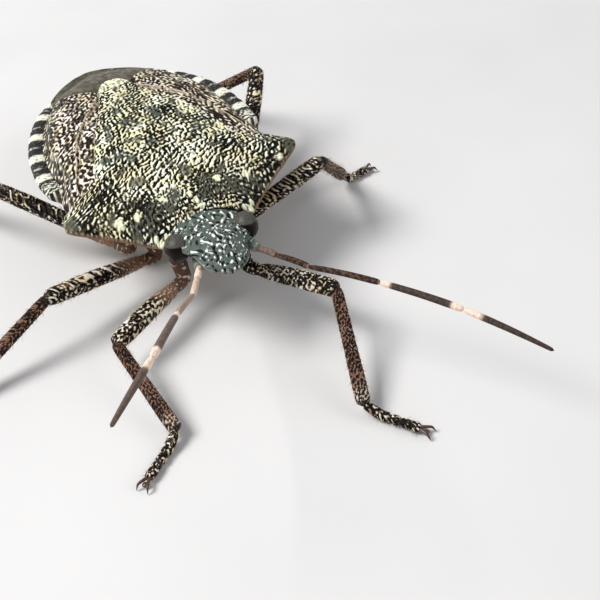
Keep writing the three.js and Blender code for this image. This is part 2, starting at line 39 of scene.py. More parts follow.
# Sizes are in millimetres up to the moment a mesh is made.
# Body coordinates: x to the bug's left, y back from the tip of the head, z up, before the body is tipped.
stance = {
    "floorCentre": (-1.424, 0.311),
    "bodyPitch": 8.083,
    "bodyPivotY": 5.0,
    "bodyRise": 2.998,
    "headBase": (-0.03, -1.92, 3.45),
    "headPitch": 6.5,
    "headRoll": 5.0,
    "headYaw": -3.5,
}
metre = 0.001
sideWords = {1: "left", -1: "right"}


def smoothCurve(stations):
    # a cubic through [position, value] stations that never swings past them
    xs, ys = np.array(stations, float).T
    steps = np.diff(xs)
    slopes = np.diff(ys) / steps
    a, b = slopes[:-1], slopes[1:]
    total = np.where(a + b == 0, 1, a + b)
    middle = np.where(a * b > 0, 2 * a * b / total, 0)
    tangents = np.concatenate([slopes[:1], middle, slopes[-1:]])

    def curve(x):
        at = np.clip(x, xs[0], xs[-1])
        i = np.clip(np.searchsorted(xs, at, side="right") - 1, 0, len(steps) - 1)
        t = (at - xs[i]) / steps[i]
        s = 1 - t
        return (ys[i] * s * s * (1 + 2 * t) + ys[i + 1] * t * t * (3 - 2 * t)
                + steps[i] * t * s * (tangents[i] * s - tangents[i + 1] * t))
    return curve


def lerp(a, b, t):
    return a + (b - a) * t


def ease(low, high, x):
    # 0 at low, 1 at high, an S between
    t = np.clip((x - low) / (high - low), 0, 1)
    return t * t * (3 - 2 * t)


def bump(x, centre, width):
    return np.exp(-((x - centre) / width) ** 2)


def circle(count):
    return 2 * np.pi * np.arange(count) / count


def wavyNoise(x, y, length, heading, spread, seed, count=70, stray=0.3):
    # sum of plane waves of nearly one length, their crests within a spread of one heading, in degrees
    rng = np.random.default_rng(seed)
    angle = np.radians(heading + 90 + spread * rng.uniform(-1, 1, count))
    number = 2 * np.pi / (length * np.exp(stray * rng.standard_normal(count)))
    phase = rng.uniform(0, 2 * np.pi, count)
    total = 0.0
    for a, k, p in zip(angle, number, phase):
        total = total + np.cos(k * (x * np.cos(a) + y * np.sin(a)) + p)
    return total * np.sqrt(2 / count)


def cloudNoise(x, y, length, seed):
    return wavyNoise(x, y, length, 0, 90, seed, count=26, stray=0.35)


def spotMask(x, y, spots, soft=0.35):
    # 1 inside any of the [x, y, radius] spots, falling to 0 past the rim
    mask = np.zeros(np.shape(x))
    for sx, sy, radius in spots:
        away = np.hypot(x - sx, y - sy) / radius
        mask = np.maximum(mask, 1 - ease(1 - soft, 1 + soft, away))
    return mask


def bothSides(spots):
    return [*spots, *[[-x, y, r] for x, y, r in spots]]


def fromFloor(points):
    return np.asarray(points, float) - np.array([*stance["floorCentre"], 0])


def fromBody(points):
    # turned by the pitch about the pivot line, then set on the floor
    angle = np.radians(stance["bodyPitch"])
    x, y, z = np.moveaxis(np.asarray(points, float), -1, 0)
    y, z = y - stance["bodyPivotY"], z + stance["bodyRise"]
    c, s = np.cos(angle), np.sin(angle)
    return fromFloor(np.stack([x, c * y + s * z, c * z - s * y], -1))


def fromHead(points):
    # turned by roll, then pitch, then yaw, and carried to the head's base
    pitch, roll, yaw = (np.radians(stance[key]) for key in ("headPitch", "headRoll", "headYaw"))
    x, y, z = np.moveaxis(np.asarray(points, float), -1, 0)
    x, z = np.cos(roll) * x + np.sin(roll) * z, np.cos(roll) * z - np.sin(roll) * x
    y, z = np.cos(pitch) * y - np.sin(pitch) * z, np.sin(pitch) * y + np.cos(pitch) * z
    x, y = np.cos(yaw) * x - np.sin(yaw) * y, np.sin(yaw) * x + np.cos(yaw) * y
    return fromFloor(np.stack([x, y, z], -1) + np.array(stance["headBase"]))


def closedMesh(name, points, faceSets, values, material, nodes=()):
    # the sign of the enclosed volume says which way the faces point
    middle = points - points.mean(0)
    volume = 0.0
    for faces in faceSets:
        for k in range(1, faces.shape[1] - 1):
            a, b, c = (middle[faces[:, n]] for n in (0, k, k + 1))
            volume += np.einsum("ij,ij->", a, np.cross(b, c))
    order = slice(None, None, -1 if volume < 0 else 1)
    polygons = [face for faces in faceSets for face in faces[:, order].tolist()]
    mesh = bpy.data.meshes.new(name)
    mesh.from_pydata((points * metre).tolist(), [], polygons)
    for key, value in values.items():
        layer = mesh.attributes.new(key, "FLOAT", "POINT")
        layer.data.foreach_set("value", np.ascontiguousarray(value, np.float32).ravel())
    mesh.polygons.foreach_set("use_smooth", np.ones(len(mesh.polygons), bool))
    mesh.materials.append(material)
    mesh.update()
    piece = bpy.data.objects.new(name, mesh)
    bpy.context.scene.collection.objects.link(piece)
    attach(piece, "root")
    if nodes:
        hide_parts(*nodes)
    return piece


def gridFaces(rows, columns, start=0, wrap=False):
    j, i = np.meshgrid(np.arange(rows - 1), np.arange(columns if wrap else columns - 1), indexing="ij")
    after = (i + 1) % columns
    corners = [j * columns + i, j * columns + after, (j + 1) * columns + after, (j + 1) * columns + i]
    return np.stack(corners, -1).reshape(-1, 4) + start


def shellValues(ridge, darken, metal=0.0, spot=0.0, edge=0.0):
    # what a pitted shell reads from its mesh
    return {"ridge": ridge, "darken": darken, "metal": metal, "spot": spot, "edge": edge}


def plateMesh(name, x, y, top, bottom, values, material, nodes=(), place=fromBody, below=None):
    # two grids over one plan, their rims joined by a band of quads; below replaces values underneath
    rows, columns = x.shape
    count = rows * columns
    number = np.arange(count).reshape(rows, columns)
    rim = np.concatenate([number[0], number[1:, -1], number[-1, -2::-1], number[-2::-1, 0]])
    band = np.stack([rim[:-1] + count, rim[1:] + count, rim[1:], rim[:-1]], -1)
    faceSets = [gridFaces(rows, columns), gridFaces(rows, columns, count)[:, ::-1], band]
    points = place(np.concatenate([np.stack([x, y, z], -1).reshape(-1, 3) for z in (top, bottom)]))
    under = {**values, **(below or {})}
    both = {key: np.concatenate([np.broadcast_to(side[key], x.shape).ravel() for side in (values, under)])
            for key in values}
    return closedMesh(name, points, faceSets, both, material, nodes)


def tubeParts(path, across, deep, up, turns):
    # rings round a path: each point is the axis + side*across*cos(turn) + rise*deep*sin(turn)
    along = np.gradient(path, axis=0)
    along /= np.linalg.norm(along, axis=1, keepdims=True)
    side = np.cross(along, up)
    side /= np.linalg.norm(side, axis=1, keepdims=True)
    rise = np.cross(side, along)
    turn = circle(turns)
    out = (side[:, None] * np.cos(turn)[:, None] * np.reshape(across, (-1, 1, 1))
           + rise[:, None] * np.sin(turn)[:, None] * np.reshape(deep, (-1, 1, 1)))
    return path[:, None] + out, out, along


def tubeFaces(rows, turns, start=0):
    hub = rows * turns
    k = np.arange(turns)
    after = (k + 1) % turns
    first = np.stack([np.full(turns, hub), after, k], -1)
    last = np.stack([np.full(turns, hub + 1), hub - turns + k, hub - turns + after], -1)
    return [gridFaces(rows, turns, wrap=True) + start, np.concatenate([first, last]) + start]


def tubePoints(rings):
    # the rings' points, then the middle of each end
    return np.concatenate([rings.reshape(-1, 3), rings[0].mean(0)[None], rings[-1].mean(0)[None]])


def tubeValues(value, rows, turns):
    flat = np.broadcast_to(value, (rows, turns))
    return np.concatenate([flat.ravel(), flat[0, :1], flat[-1, :1]])


def joinTubes(name, tubes, material, slot, nodes=(), place=fromFloor):
    # several tubes, each (rings, values), in one mesh
    points, faceSets, full, start = [], [], {}, 0
    for rings, values in tubes:
        rows, turns = rings.shape[:2]
        points.append(tubePoints(rings))
        faceSets += tubeFaces(rows, turns, start)
        start += len(points[-1])
        for key, value in values.items():
            full.setdefault(key, []).append(tubeValues(value, rows, turns))
    joined = {key: np.concatenate(value) for key, value in full.items()}
    return closedMesh(name, place(np.concatenate(points)), faceSets, joined, material, nodes)


def tubeMesh(name, rings, values, *rest, **kind):
    return joinTubes(name, [(rings, values)], *rest, **kind)


def coneHairs(name, roots, leans, lengths, width, material):
    # each hair is a thin three-sided spike from its root
    aside = np.cross(leans, [0.31, 0.52, 0.79])
    aside /= np.linalg.norm(aside, axis=1, keepdims=True)
    over = np.cross(leans, aside)
    third = circle(3)
    ring = aside[:, None] * np.cos(third)[:, None] + over[:, None] * np.sin(third)[:, None]
    base = roots[:, None] - leans[:, None] * 0.02 + ring * width
    points = np.concatenate([base, (roots + leans * lengths[:, None])[:, None]], 1).reshape(-1, 3)
    first = 4 * np.arange(len(roots))[:, None]
    pattern = np.array([[0, 1, 3], [1, 2, 3], [2, 0, 3], [2, 1, 0]])
    faces = (first[:, None] + pattern[None]).reshape(-1, 3)
    return closedMesh(name, fromFloor(points), [faces], {}, material)


# Materials. Colours are linear, texture scales are per metre.

def newMaterial(name, **settings):
    material = bpy.data.materials.new(name)
    material.use_nodes = True
    shader = material.node_tree.nodes["Principled BSDF"]
    for key, value in settings.items():
        shader.inputs[key].default_value = value
    return material, material.node_tree, shader


def addNode(tree, kind, links=None, **settings):
    # links: input name or number -> a socket to join or a value to set
    node = tree.nodes.new("ShaderNode" + kind)
    for key, value in settings.items():
        setattr(node, key, value)
    for key, value in (links or {}).items():
        if isinstance(value, bpy.types.NodeSocket):
            tree.links.new(value, node.inputs[key])
        else:
            node.inputs[key].default_value = value
    return node


def readValue(tree, name):
    return addNode(tree, "Attribute", attribute_name=name, attribute_type="GEOMETRY").outputs["Fac"]


def objectPlace(tree):
    return addNode(tree, "TexCoord").outputs["Object"]


def math(tree, operation, a, b):
    return addNode(tree, "Math", {0: a, 1: b}, operation=operation).outputs[0]


def rampTo(tree, value, low, high, out=(0.0, 1.0)):
    links = {"Value": value, "From Min": low, "From Max": high, "To Min": out[0], "To Max": out[1]}
    return addNode(tree, "MapRange", links, interpolation_type="SMOOTHSTEP").outputs["Result"]


def mixColour(tree, factor, a, b, blend="MIX"):
    a, b = ((*colour, 1) if isinstance(colour, tuple) else colour for colour in (a, b))
    return addNode(tree, "Mix", {0: factor, 6: a, 7: b}, data_type="RGBA", blend_type=blend).outputs[2]


def grainOf(tree, scale, detail=3.0, rough=0.6):
    links = {"Vector": objectPlace(tree), "Scale": scale, "Detail": detail, "Roughness": rough}
    return addNode(tree, "TexNoise", links).outputs["Fac"]


def setColour(tree, shader, colour):
    tree.links.new(colour, shader.inputs["Base Color"])


def setRough(tree, shader, grain, low, high):
    tree.links.new(rampTo(tree, grain, 0.3, 0.7, (low, high)), shader.inputs["Roughness"])


def addRelief(tree, shader, height, strength, depth):
    relief = addNode(tree, "Bump", {"Strength": strength, "Distance": depth, "Height": height})
    tree.links.new(relief.outputs[0], shader.inputs["Normal"])


def makeGroup(name, inputs, outputs):
    # an effect used by several materials; a tuple makes a colour socket, a number a plain one
    tree = bpy.data.node_groups.new(name, "ShaderNodeTree")
    for way, sockets in (("INPUT", inputs), ("OUTPUT", outputs)):
        for label, value in sockets.items():
            kind = "NodeSocketColor" if isinstance(value, tuple) else "NodeSocketFloat"
            tree.interface.new_socket(label, in_out=way, socket_type=kind).default_value = value
    return tree, tree.nodes.new("NodeGroupInput").outputs, tree.nodes.new("NodeGroupOutput").inputs


def useGroup(tree, group, links):
    return addNode(tree, "Group", links, node_tree=group).outputs


# Pitted shell: dark pits, a middle tone and pale ridges, from a ridge value and a darkening value
pitted, given, wanted = makeGroup("pittedShell", {
    "Ridge": 0.0, "Darken": 0.0, "Metal": 0.0, "Grain": 9000.0, "Dark": (0.01, 0.01, 0.008, 1),
    "Middle": (0.1, 0.1, 0.06, 1), "Pale": (0.6, 0.6, 0.4, 1), "Sheen": (0.07, 0.1, 0.09, 1),
}, {"Colour": (0.0, 0.0, 0.0, 1), "Roughness": 0.5, "Height": 0.0})
pittedLevels = {
    "speck": 3.2, "pits": 0.8, "pitReach": (0.15, 0.5), "lit": (-0.85, -0.35), "pale": (-0.3, 0.45),
    "sheen": (-2.2, -1.3), "rough": (0.5, 0.42), "stainScale": 1300.0, "stain": (0.88, 0.8, 0.62),
}


def fillPitted(tree, levels):
    speck = math(tree, "SUBTRACT", grainOf(tree, given["Grain"], 4.0, 0.65), 0.5)
    punctures = addNode(tree, "TexVoronoi", {"Vector": objectPlace(tree), "Scale": given["Grain"]})
    hole = rampTo(tree, punctures.outputs["Distance"], *levels["pitReach"], (levels["pits"], 0.0))
    level = math(tree, "SUBTRACT", given["Ridge"], given["Darken"])
    level = math(tree, "ADD", level, math(tree, "MULTIPLY", speck, levels["speck"]))
    level = math(tree, "SUBTRACT", level, hole)
    tone = mixColour(tree, rampTo(tree, level, *levels["lit"]), given["Dark"], given["Middle"])
    tone = mixColour(tree, rampTo(tree, level, *levels["pale"]), tone, given["Pale"])
    stain = rampTo(tree, grainOf(tree, levels["stainScale"]), 0.38, 0.66)
    tone = mixColour(tree, stain, mixColour(tree, 1.0, tone, levels["stain"], "MULTIPLY"), tone)
    smooth = mixColour(tree, rampTo(tree, level, *levels["sheen"]), given["Dark"], given["Sheen"])
    tree.links.new(mixColour(tree, given["Metal"], tone, smooth), wanted["Colour"])
    tree.links.new(rampTo(tree, level, -0.5, 0.5, levels["rough"]), wanted["Roughness"])
    tree.links.new(level, wanted["Height"])


fillPitted(pitted, pittedLevels)


def shellMaterial(name, spotColour, edgeColour, dark, middle, pale, sheen, grain=9000.0):
    # pitted shell driven by the mesh's own values, with pale spots over the pits and a thin edge's colour
    material, tree, shader = newMaterial(name, **{"Specular IOR Level": 0.12})
    out = useGroup(tree, pitted, {
        "Ridge": readValue(tree, "ridge"), "Darken": readValue(tree, "darken"),
        "Metal": readValue(tree, "metal"), "Grain": grain,
        "Dark": (*dark, 1), "Middle": (*middle, 1), "Pale": (*pale, 1), "Sheen": (*sheen, 1),
    })
    addRelief(tree, shader, out["Height"], 0.6, 0.000012)
    tree.links.new(out["Roughness"], shader.inputs["Roughness"])
    colour = out["Colour"]
    if spotColour:
        colour = mixColour(tree, readValue(tree, "spot"), colour, spotColour)
    setColour(tree, shader, mixColour(tree, readValue(tree, "edge"), colour, edgeColour))
    return material


backMaterial = shellMaterial(
    "backShell", (0.86, 0.86, 0.6), (0.42, 0.27, 0.17), dark=(0.001, 0.001, 0.001),
    middle=(0.115, 0.105, 0.065), pale=(0.96, 0.98, 0.82), sheen=(0.085, 0.085, 0.06), grain=8000.0)
scutellumMaterial = shellMaterial(
    "scutellumShell", (0.84, 0.84, 0.62), (0.3, 0.26, 0.16), dark=(0.002, 0.002, 0.001),
    middle=(0.105, 0.1, 0.062), pale=(0.9, 0.93, 0.76), sheen=(0.07, 0.08, 0.062), grain=7000.0)
wingMaterial = shellMaterial(
    "wingShell", (0.56, 0.46, 0.34), (0.2, 0.15, 0.09), dark=(0.01, 0.006, 0.004),
    middle=(0.13, 0.1, 0.072), pale=(0.86, 0.82, 0.74), sheen=(0.085, 0.09, 0.07), grain=6500.0)
headMaterial = shellMaterial(
    "headShell", (0.9, 0.93, 0.85), (0.36, 0.32, 0.27), dark=(0.003, 0.004, 0.004),
    middle=(0.07, 0.09, 0.08), pale=(0.6, 0.65, 0.57), sheen=(0.086, 0.112, 0.097), grain=7000.0)
bellyMaterial = shellMaterial(
    "bellyShell", None, (0.3, 0.2, 0.12), dark=(0.03, 0.02, 0.012), middle=(0.34, 0.25, 0.15),
    pale=(0.52, 0.43, 0.28), sheen=(0.2, 0.2, 0.15))
limbMaterial = shellMaterial(
    "limbShell", (0.34, 0.19, 0.13), (0.02, 0.015, 0.012), dark=(0.003, 0.002, 0.001),
    middle=(0.1, 0.06, 0.04), pale=(0.84, 0.8, 0.72), sheen=(0.1, 0.08, 0.06))
shinMaterial = shellMaterial(
    "shinShell", (0.75, 0.66, 0.55), (0.02, 0.013, 0.01), dark=(0.006, 0.003, 0.002),
    middle=(0.075, 0.03, 0.022), pale=(0.22, 0.125, 0.092), sheen=(0.08, 0.06, 0.05), grain=11000.0)
feelerMaterial = shellMaterial(
    "feelerShell", (0.86, 0.66, 0.54), (0.06, 0.045, 0.037), dark=(0.012, 0.006, 0.004),
    middle=(0.045, 0.02, 0.015), pale=(0.1, 0.05, 0.034), sheen=(0.1, 0.07, 0.06))


def plainShell(name, colour, other, scale, rough, **settings):
    # a smooth skin: two close tones clouded together, with a fine grain
    material, tree, shader = newMaterial(name, **settings)
    setColour(tree, shader, mixColour(tree, rampTo(tree, grainOf(tree, scale), 0.35, 0.65), colour, other))
    fine = grainOf(tree, scale * 6)
    setRough(tree, shader, fine, rough - 0.08, rough + 0.08)
    addRelief(tree, shader, fine, 0.5, 0.000008)
    return material


clawMaterial = plainShell("clawHorn", (0.05, 0.025, 0.015), (0.1, 0.05, 0.03), 6000.0, 0.35)
hairMaterial = plainShell("hair", (0.55, 0.45, 0.3), (0.7, 0.6, 0.45), 4000.0, 0.5)
ocellusMaterial = plainShell("ocellusLens", (0.12, 0.02, 0.012), (0.06, 0.012, 0.008), 5000.0, 0.2,
                             **{"Coat Weight": 0.6})
print("materials made")

# Outline and heights of the body by distance behind the head's tip: [y, value]
halfWidth = smoothCurve([
    [2.5, 1.2], [2.86, 1.43], [3.6, 2.45], [4.35, 3.66], [4.75, 3.62], [5.2, 3.5], [5.8, 3.42],
    [7, 3.55], [8.1, 3.65], [9.3, 3.55], [10.7, 3.2], [12.17, 2.62], [13.1, 1.95], [13.8, 1.15],
    [14.15, 0.3]])
ridgeHeight = smoothCurve([
    [2.5, 0.05], [3, 0.3], [3.75, 0.74], [4.65, 1.08], [5.8, 1.38], [8, 1.6], [10.2, 1.55],
    [11, 1.5], [12.5, 1.25], [14.6, 0.6]])
edgeHeight = smoothCurve([
    [2.9, -0.32], [3.6, 0.1], [4.4, 0.52], [5.8, 0.38], [8.1, 0.42], [9.3, 0.56], [10.7, 0.66],
    [12.2, 0.64], [13.1, 0.6], [14.2, 0.5]])
keelHeight = smoothCurve([
    [2.6, -1], [3.4, -1.4], [5, -1.5], [7, -1.55], [9, -1.95], [10.5, -1.85], [12.5, -1.1],
    [14.1, 0.1]])
scutellumHalf = smoothCurve([
    [5.95, 2.15], [7.5, 1.6], [8.6, 1.15], [9.4, 0.85], [10.2, 0.62], [10.7, 0.42], [10.98, 0.08]])


def acrossBody(x, y):
    return np.minimum(np.abs(x) / halfWidth(y), 1)


def backHeight(x, y):
    # arched from the sharp side edges to the ridge line
    return edgeHeight(y) + (ridgeHeight(y) - edgeHeight(y)) * (1 - acrossBody(x, y) ** 2.2)


def underHeight(x, y, rimDepth=0.3):
    # from the rim down to the keel line
    rim = edgeHeight(y) - rimDepth
    fullness = lerp(1.5, 2.0, ease(5, 8, y))
    return rim - (rim - keelHeight(y)) * (1 - acrossBody(x, y) ** fullness)


def shade(tone, **masks):
    # how dark the shell is: a base and one share for each mask
    return tone["base"] + sum(tone[key] * mask for key, mask in masks.items())


def raised(ridge, relief):
    return relief * (ease(-0.7, 0.5, ridge) - 0.5)


def grid(shape, low=-1.0):
    # u across the piece from low to 1, v along it from 0 to 1
    along, across = np.linspace(0, 1, shape["rows"]), np.linspace(low, 1, shape["columns"])
    v, u = np.meshgrid(along, across, indexing="ij")
    return u, v


def ridgeField(x, y, kind):
    # ridges of one wave length along a heading, bent by a slow drift of the plan
    wx = x + kind["bend"] * cloudNoise(x, y, 1.3, kind["seed"] + 1)
    wy = y + kind["bend"] * cloudNoise(x, y, 1.1, kind["seed"] + 2)
    return wavyNoise(wx, wy, kind["length"], kind["heading"], kind["spread"], kind["seed"])


# Pronotum: front margin round the head, sharp sides out to the shoulder corners, rear margin over the wings
pronotumShape = {
    "columns": 330, "rows": 130, "cornerY": 2.86, "frontY": 3.03, "rearY": 5.72, "length": 2.6,
    "rearCornerX": 2.3, "sideRearY": 5.42, "edgeThickness": 0.12, "thickness": 0.5, "relief": 0.022,
    "ridges": {"length": 0.14, "heading": 58, "spread": 46, "bend": 0.03, "seed": 11},
    "frontRidges": {"length": 0.1, "heading": 58, "spread": 75, "bend": 0.03, "seed": 11},
    "rearDroop": 0.1, "frontDroop": 0.04, "dimple": 0.05, "cornerRise": 0.05, "callusRise": 0.03,
    "tone": {"base": 0.52, "cloud": 0.3, "middle": -0.62, "corner": 0.3, "front": 0.45, "margin": -0.6,
             "callus": 1.3, "tip": -0.5},
    "under": {"ridge": -0.45, "spot": 0.0, "metal": 0.0},
}
calluses = bothSides([
    [0.5, 3.7, 0.2], [0.86, 3.47, 0.24], [1.2, 3.52, 0.24], [1.48, 3.38, 0.2], [1.9, 3.5, 0.16]])
paleSpots = [*bothSides([[0.85, 3.72, 0.095], [1.72, 3.68, 0.1]]), [-2.23, 3.75, 0.11],
             [2.94, 3.99, 0.08], [0.03, 3.15, 0.07], [0.0, 3.33, 0.08], [-0.1, 3.55, 0.07]]
denticles = bothSides([[1.4, 2.9, 0.09], [1.22, 2.93, 0.06], [1.5, 3.06, 0.06]])


def pronotumPlan(u, v):
    # the middle runs from front margin to rear margin, while the sides keep their own y
    s = pronotumShape
    sideY = lerp(s["cornerY"], s["sideRearY"], v)
    edgeX = halfWidth(sideY)
    rearX = np.abs(u) * halfWidth(s["sideRearY"])
    t = np.clip((rearX - s["rearCornerX"]) / (halfWidth(s["sideRearY"]) - s["rearCornerX"]), 0, 1)
    rearLine = lerp(s["rearY"], s["sideRearY"], t)
    frontLine = lerp(s["cornerY"], s["frontY"], (1 - u ** 2) ** 1.5)
    y = lerp(lerp(frontLine, rearLine, v), sideY, np.abs(u) ** 3 * (1 - v ** 8))
    return u * edgeX, y


def makePronotum():
    s = pronotumShape
    u, v = grid(s)
    x, y = pronotumPlan(u, v)
    side = np.abs(x)
    fromEdge = (1 - np.abs(u)) * halfWidth(y)
    fromRear, fromFront = (1 - v) * s["length"], v * s["length"]
    fine = ridgeField(x, y, s["frontRidges"])
    ridge = lerp(ridgeField(x, y, s["ridges"]), fine, 0.9 * ease(4.3, 3.7, y))
    callus = spotMask(x, y, calluses, 0.45)
    strayX, strayY = (0.025 * cloudNoise(x, y, 0.2, seed) for seed in (5, 6))
    denticle = spotMask(x, y, denticles, 0.3)
    spot = np.maximum(spotMask(x + strayX, y + strayY, paleSpots, 0.25), denticle)
    corner = ease(2.75, 3.25, side) * bump(y, 4.3, 0.55)
    tip = ease(3.1, 3.4, side) * bump(y, 4.35, 0.45)
    darken = shade(
        s["tone"], cloud=cloudNoise(x, y, 1.5, 21), middle=bump(x, 0.1, 1.7) * bump(y, 4.7, 1.0),
        corner=corner, front=ease(4.1, 3.4, y), margin=ease(0.3, 0.08, fromFront),
        callus=callus * ease(-0.5, -1.1, ridge), tip=tip)
    cloud = 0.8 * ease(0.9, 1.7, cloudNoise(x, y, 0.8, 23))
    metal = np.clip(cloud + callus * ease(1.7, 1.2, ridge) + tip, 0, 1)
    edge = ease(0.03, 0.0, fromEdge) * ease(-0.2, 0.6, ridge)
    soft = ease(0, 0.12, fromEdge)
    top = backHeight(x, y) + s["cornerRise"] * corner
    top = top - s["dimple"] * bump(side, 0.75, 0.35) * bump(y, 3.35, 0.2)
    top = top + raised(ridge, s["relief"]) * soft * (1 - callus) + s["callusRise"] * callus * soft
    top = top - s["rearDroop"] * ease(0.16, 0, fromRear) - s["frontDroop"] * ease(0.1, 0, fromFront)
    top = top + 0.02 * spot + 0.04 * denticle
    thick = lerp(s["edgeThickness"], s["thickness"], ease(0, 0.9, fromEdge))
    thinFront = 0.07 + 0.6 * ease(0.1, 0.7, fromFront)
    under = top - np.minimum(thick, np.minimum(0.3 + ease(0, 0.4, fromRear), thinFront))
    values = shellValues(ridge, darken, metal, spot, edge)
    below = {**s["under"], "edge": 0.8 * ease(0.8, 0.97, np.abs(u))}
    plateMesh("pronotum_shell", x, y, top, under, values, backMaterial, ["pronotum"],
              below=below)


makePronotum()
print("pronotum made")

# Scutellum: a long triangle with a rounded pale tongue
scutellumShape = {
    "columns": 190, "rows": 230, "frontY": 5.4, "tipY": 11.0, "lift": 0.05, "thickness": 0.45,
    "relief": 0.022, "overhang": 0.05, "sideRoll": 0.14, "endRoll": 0.2, "tipRise": 0.06,
    "ridges": {"length": 0.155, "heading": 62, "spread": 65, "bend": 0.03, "seed": 31},
    "tone": {"base": 0.16, "cloud": 0.35, "rear": -0.2, "patch": 1.2},
}
darkPatches = bothSides([[0.34, 7.15, 0.26], [1.28, 5.98, 0.24], [1.68, 5.98, 0.16], [0.3, 8.9, 0.16]])
basalSpots = bothSides([[1.95, 6.02, 0.1], [1.45, 6.1, 0.06], [0.55, 5.85, 0.09]])


def makeScutellum():
    s = scutellumShape
    u, v = grid(s)
    y = lerp(s["frontY"], s["tipY"], 1 - (1 - v) ** 1.25)
    half = scutellumHalf(y) + s["overhang"]
    x = u * half
    fromEdge = (1 - np.abs(u)) * half
    ridge = ridgeField(x, y, s["ridges"])
    patch = spotMask(x, y, darkPatches, 0.5)
    tip = ease(10.1, 10.7, y + 0.12 * cloudNoise(x, y, 0.4, 7))
    cloud = cloudNoise(x, y, 1.2, 41)
    darken = shade(s["tone"], cloud=cloud, rear=ease(9.3, 10.4, y), patch=patch * ease(-0.5, -1.1, ridge))
    sheen = 0.8 * ease(0.9, 1.7, cloudNoise(x, y, 0.7, 43))
    roll = s["sideRoll"] * ease(0.12, 0, fromEdge) + s["endRoll"] * ease(0.1, 0, s["tipY"] - y)
    top = backHeight(x, y) + s["lift"] + s["tipRise"] * tip - roll
    top = top + raised(ridge, s["relief"]) * (1 - patch) * (1 - 0.6 * tip)
    under = top - s["thickness"] * (0.3 + 0.7 * ease(0, 0.3, fromEdge))
    spot = np.clip(tip * (0.85 + 0.3 * ridge) + spotMask(x + 0.02 * cloud, y, basalSpots, 0.3), 0, 1)
    metal = np.clip(sheen + patch * ease(1.5, 1.0, ridge), 0, 1)
    values = shellValues(ridge, darken, metal, spot, 0.7 * ease(0.05, 0, fromEdge))
    plateMesh("scutellum_plate", x, y, top, under, values, scutellumMaterial,
              ["scutellum"])


makeScutellum()
print("scutellum made")

# Leathery part of a front wing, with the claval furrow beside the scutellum and three long veins
wingShape = {
    "columns": 90, "rows": 300, "innerY": (5.5, 10.5), "outerY": (5.4, 12.45), "length": 6.0,
    "overlap": 0.12, "inset": 0.52, "frontInset": 0.1, "thickness": 0.22, "relief": 0.02,
    "outerRoll": 0.27, "endRoll": 0.05,
    "ridges": {"length": 0.165, "heading": 80, "spread": 75, "bend": 0.03, "seed": 51},
    "tone": {"base": 0.5, "cloud": 0.5, "groove": 0.8, "rear": 0.2},
}
# each vein: its place across the wing in front and behind, from 0 inside to 1 outside, and its strength
veins = {"lines": [[0.62, 0.03, 1.0], [0.54, -0.03, 0.7], [0.05, 0.02, 0.7], [0.76, 0.36, 0.35],
                   [0.88, 0.6, 0.5]],
         "width": 0.022, "height": 0.05, "sway": 0.02}
furrow = {"u": (0.58, 0.0), "width": 0.02, "depth": 0.05}


def makeWing(side, word):
    s = wingShape
    u, v = grid(s, 0.0)
    innerY, outerY = lerp(*s["innerY"], v), lerp(*s["outerY"], v)
    inner = scutellumHalf(innerY) - s["overlap"]
    outer = halfWidth(outerY) - lerp(s["frontInset"], s["inset"], ease(5.9, 7.6, outerY))
    x, y = side * lerp(inner, outer, u), lerp(innerY, outerY, u)
    fromOuter, fromEnd = (1 - u) * (outer - inner), (1 - v) * s["length"]
    ridge = ridgeField(x, y * 0.8, {**s["ridges"], "seed": s["ridges"]["seed"] + 5 * side})
    sway = veins["sway"] * np.sin(5 * v)
    vein = sum(share * bump(u, lerp(fore, aft, v) + sway, veins["width"])
               for fore, aft, share in veins["lines"])
    flank = ease(0.7, 0.8, u + 0.03 * np.sin(9 * v)) * ease(0.0, 0.2, v)
    groove = bump(u, lerp(*furrow["u"], v) + sway, furrow["width"])
    darken = shade(s["tone"], cloud=cloudNoise(x, y, 1.1, 61 + side), groove=groove, rear=ease(0.8, 1, v))
    metal = 0.6 * np.maximum(ease(1.0, 1.8, cloudNoise(x, y, 0.7, 63)), flank * ease(0.9, 0.3, ridge))
    roll = s["outerRoll"] * ease(0.36, 0, fromOuter) + s["endRoll"] * ease(0.12, 0, fromEnd)
    top = backHeight(x, y) + veins["height"] * vein * (1 - v ** 6) - furrow["depth"] * groove - roll
    top = top + raised(ridge, s["relief"]) - 0.1 * bump(u, 0, 0.06)
    under = top - s["thickness"] * (0.35 + 0.65 * ease(0, 0.3, fromOuter))
    rest = lerp(edgeHeight(y) + 0.02, under, ease(0.04, 0.2, fromOuter))  # it lies on the abdomen's rim
    under = np.minimum(under, lerp(under, rest, ease(6.6, 7.6, y)))
    spot = np.clip(0.95 * vein * ease(-1.3, -0.1, ridge), 0, 1)
    values = shellValues(ridge, darken, metal, spot, 0.4 * ease(0.05, 0, fromEnd))
    plateMesh(f"wing_cover_{word}", x, y, top, under, values, wingMaterial,
              [f"wing_{word}"])


for side, word in sideWords.items():
    makeWing(side, word)
print("wing covers made")

# Both membranes folded flat over the end of the abdomen, the left one on top
membraneHalf = smoothCurve([
    [12.35, 1.98], [12.7, 1.88], [13.1, 1.68], [13.6, 1.38], [14.1, 1], [14.45, 0.56], [14.62, 0.12]])
membraneShape = {
    "columns": 200, "rows": 120, "veinHeight": 0.02, "veinCount": 6, "thickness": 0.12, "sink": 0.09,
    "fold": 0.06, "wrinkle": 0.003, "endDroop": 0.06, "overRim": 0.17,
    "corner": 0.4, "cornerX": 0.69, "sideX": 1.9, "startY": (10.6, 10.2, 12.1), "endY": (14.62, 12.75),
}


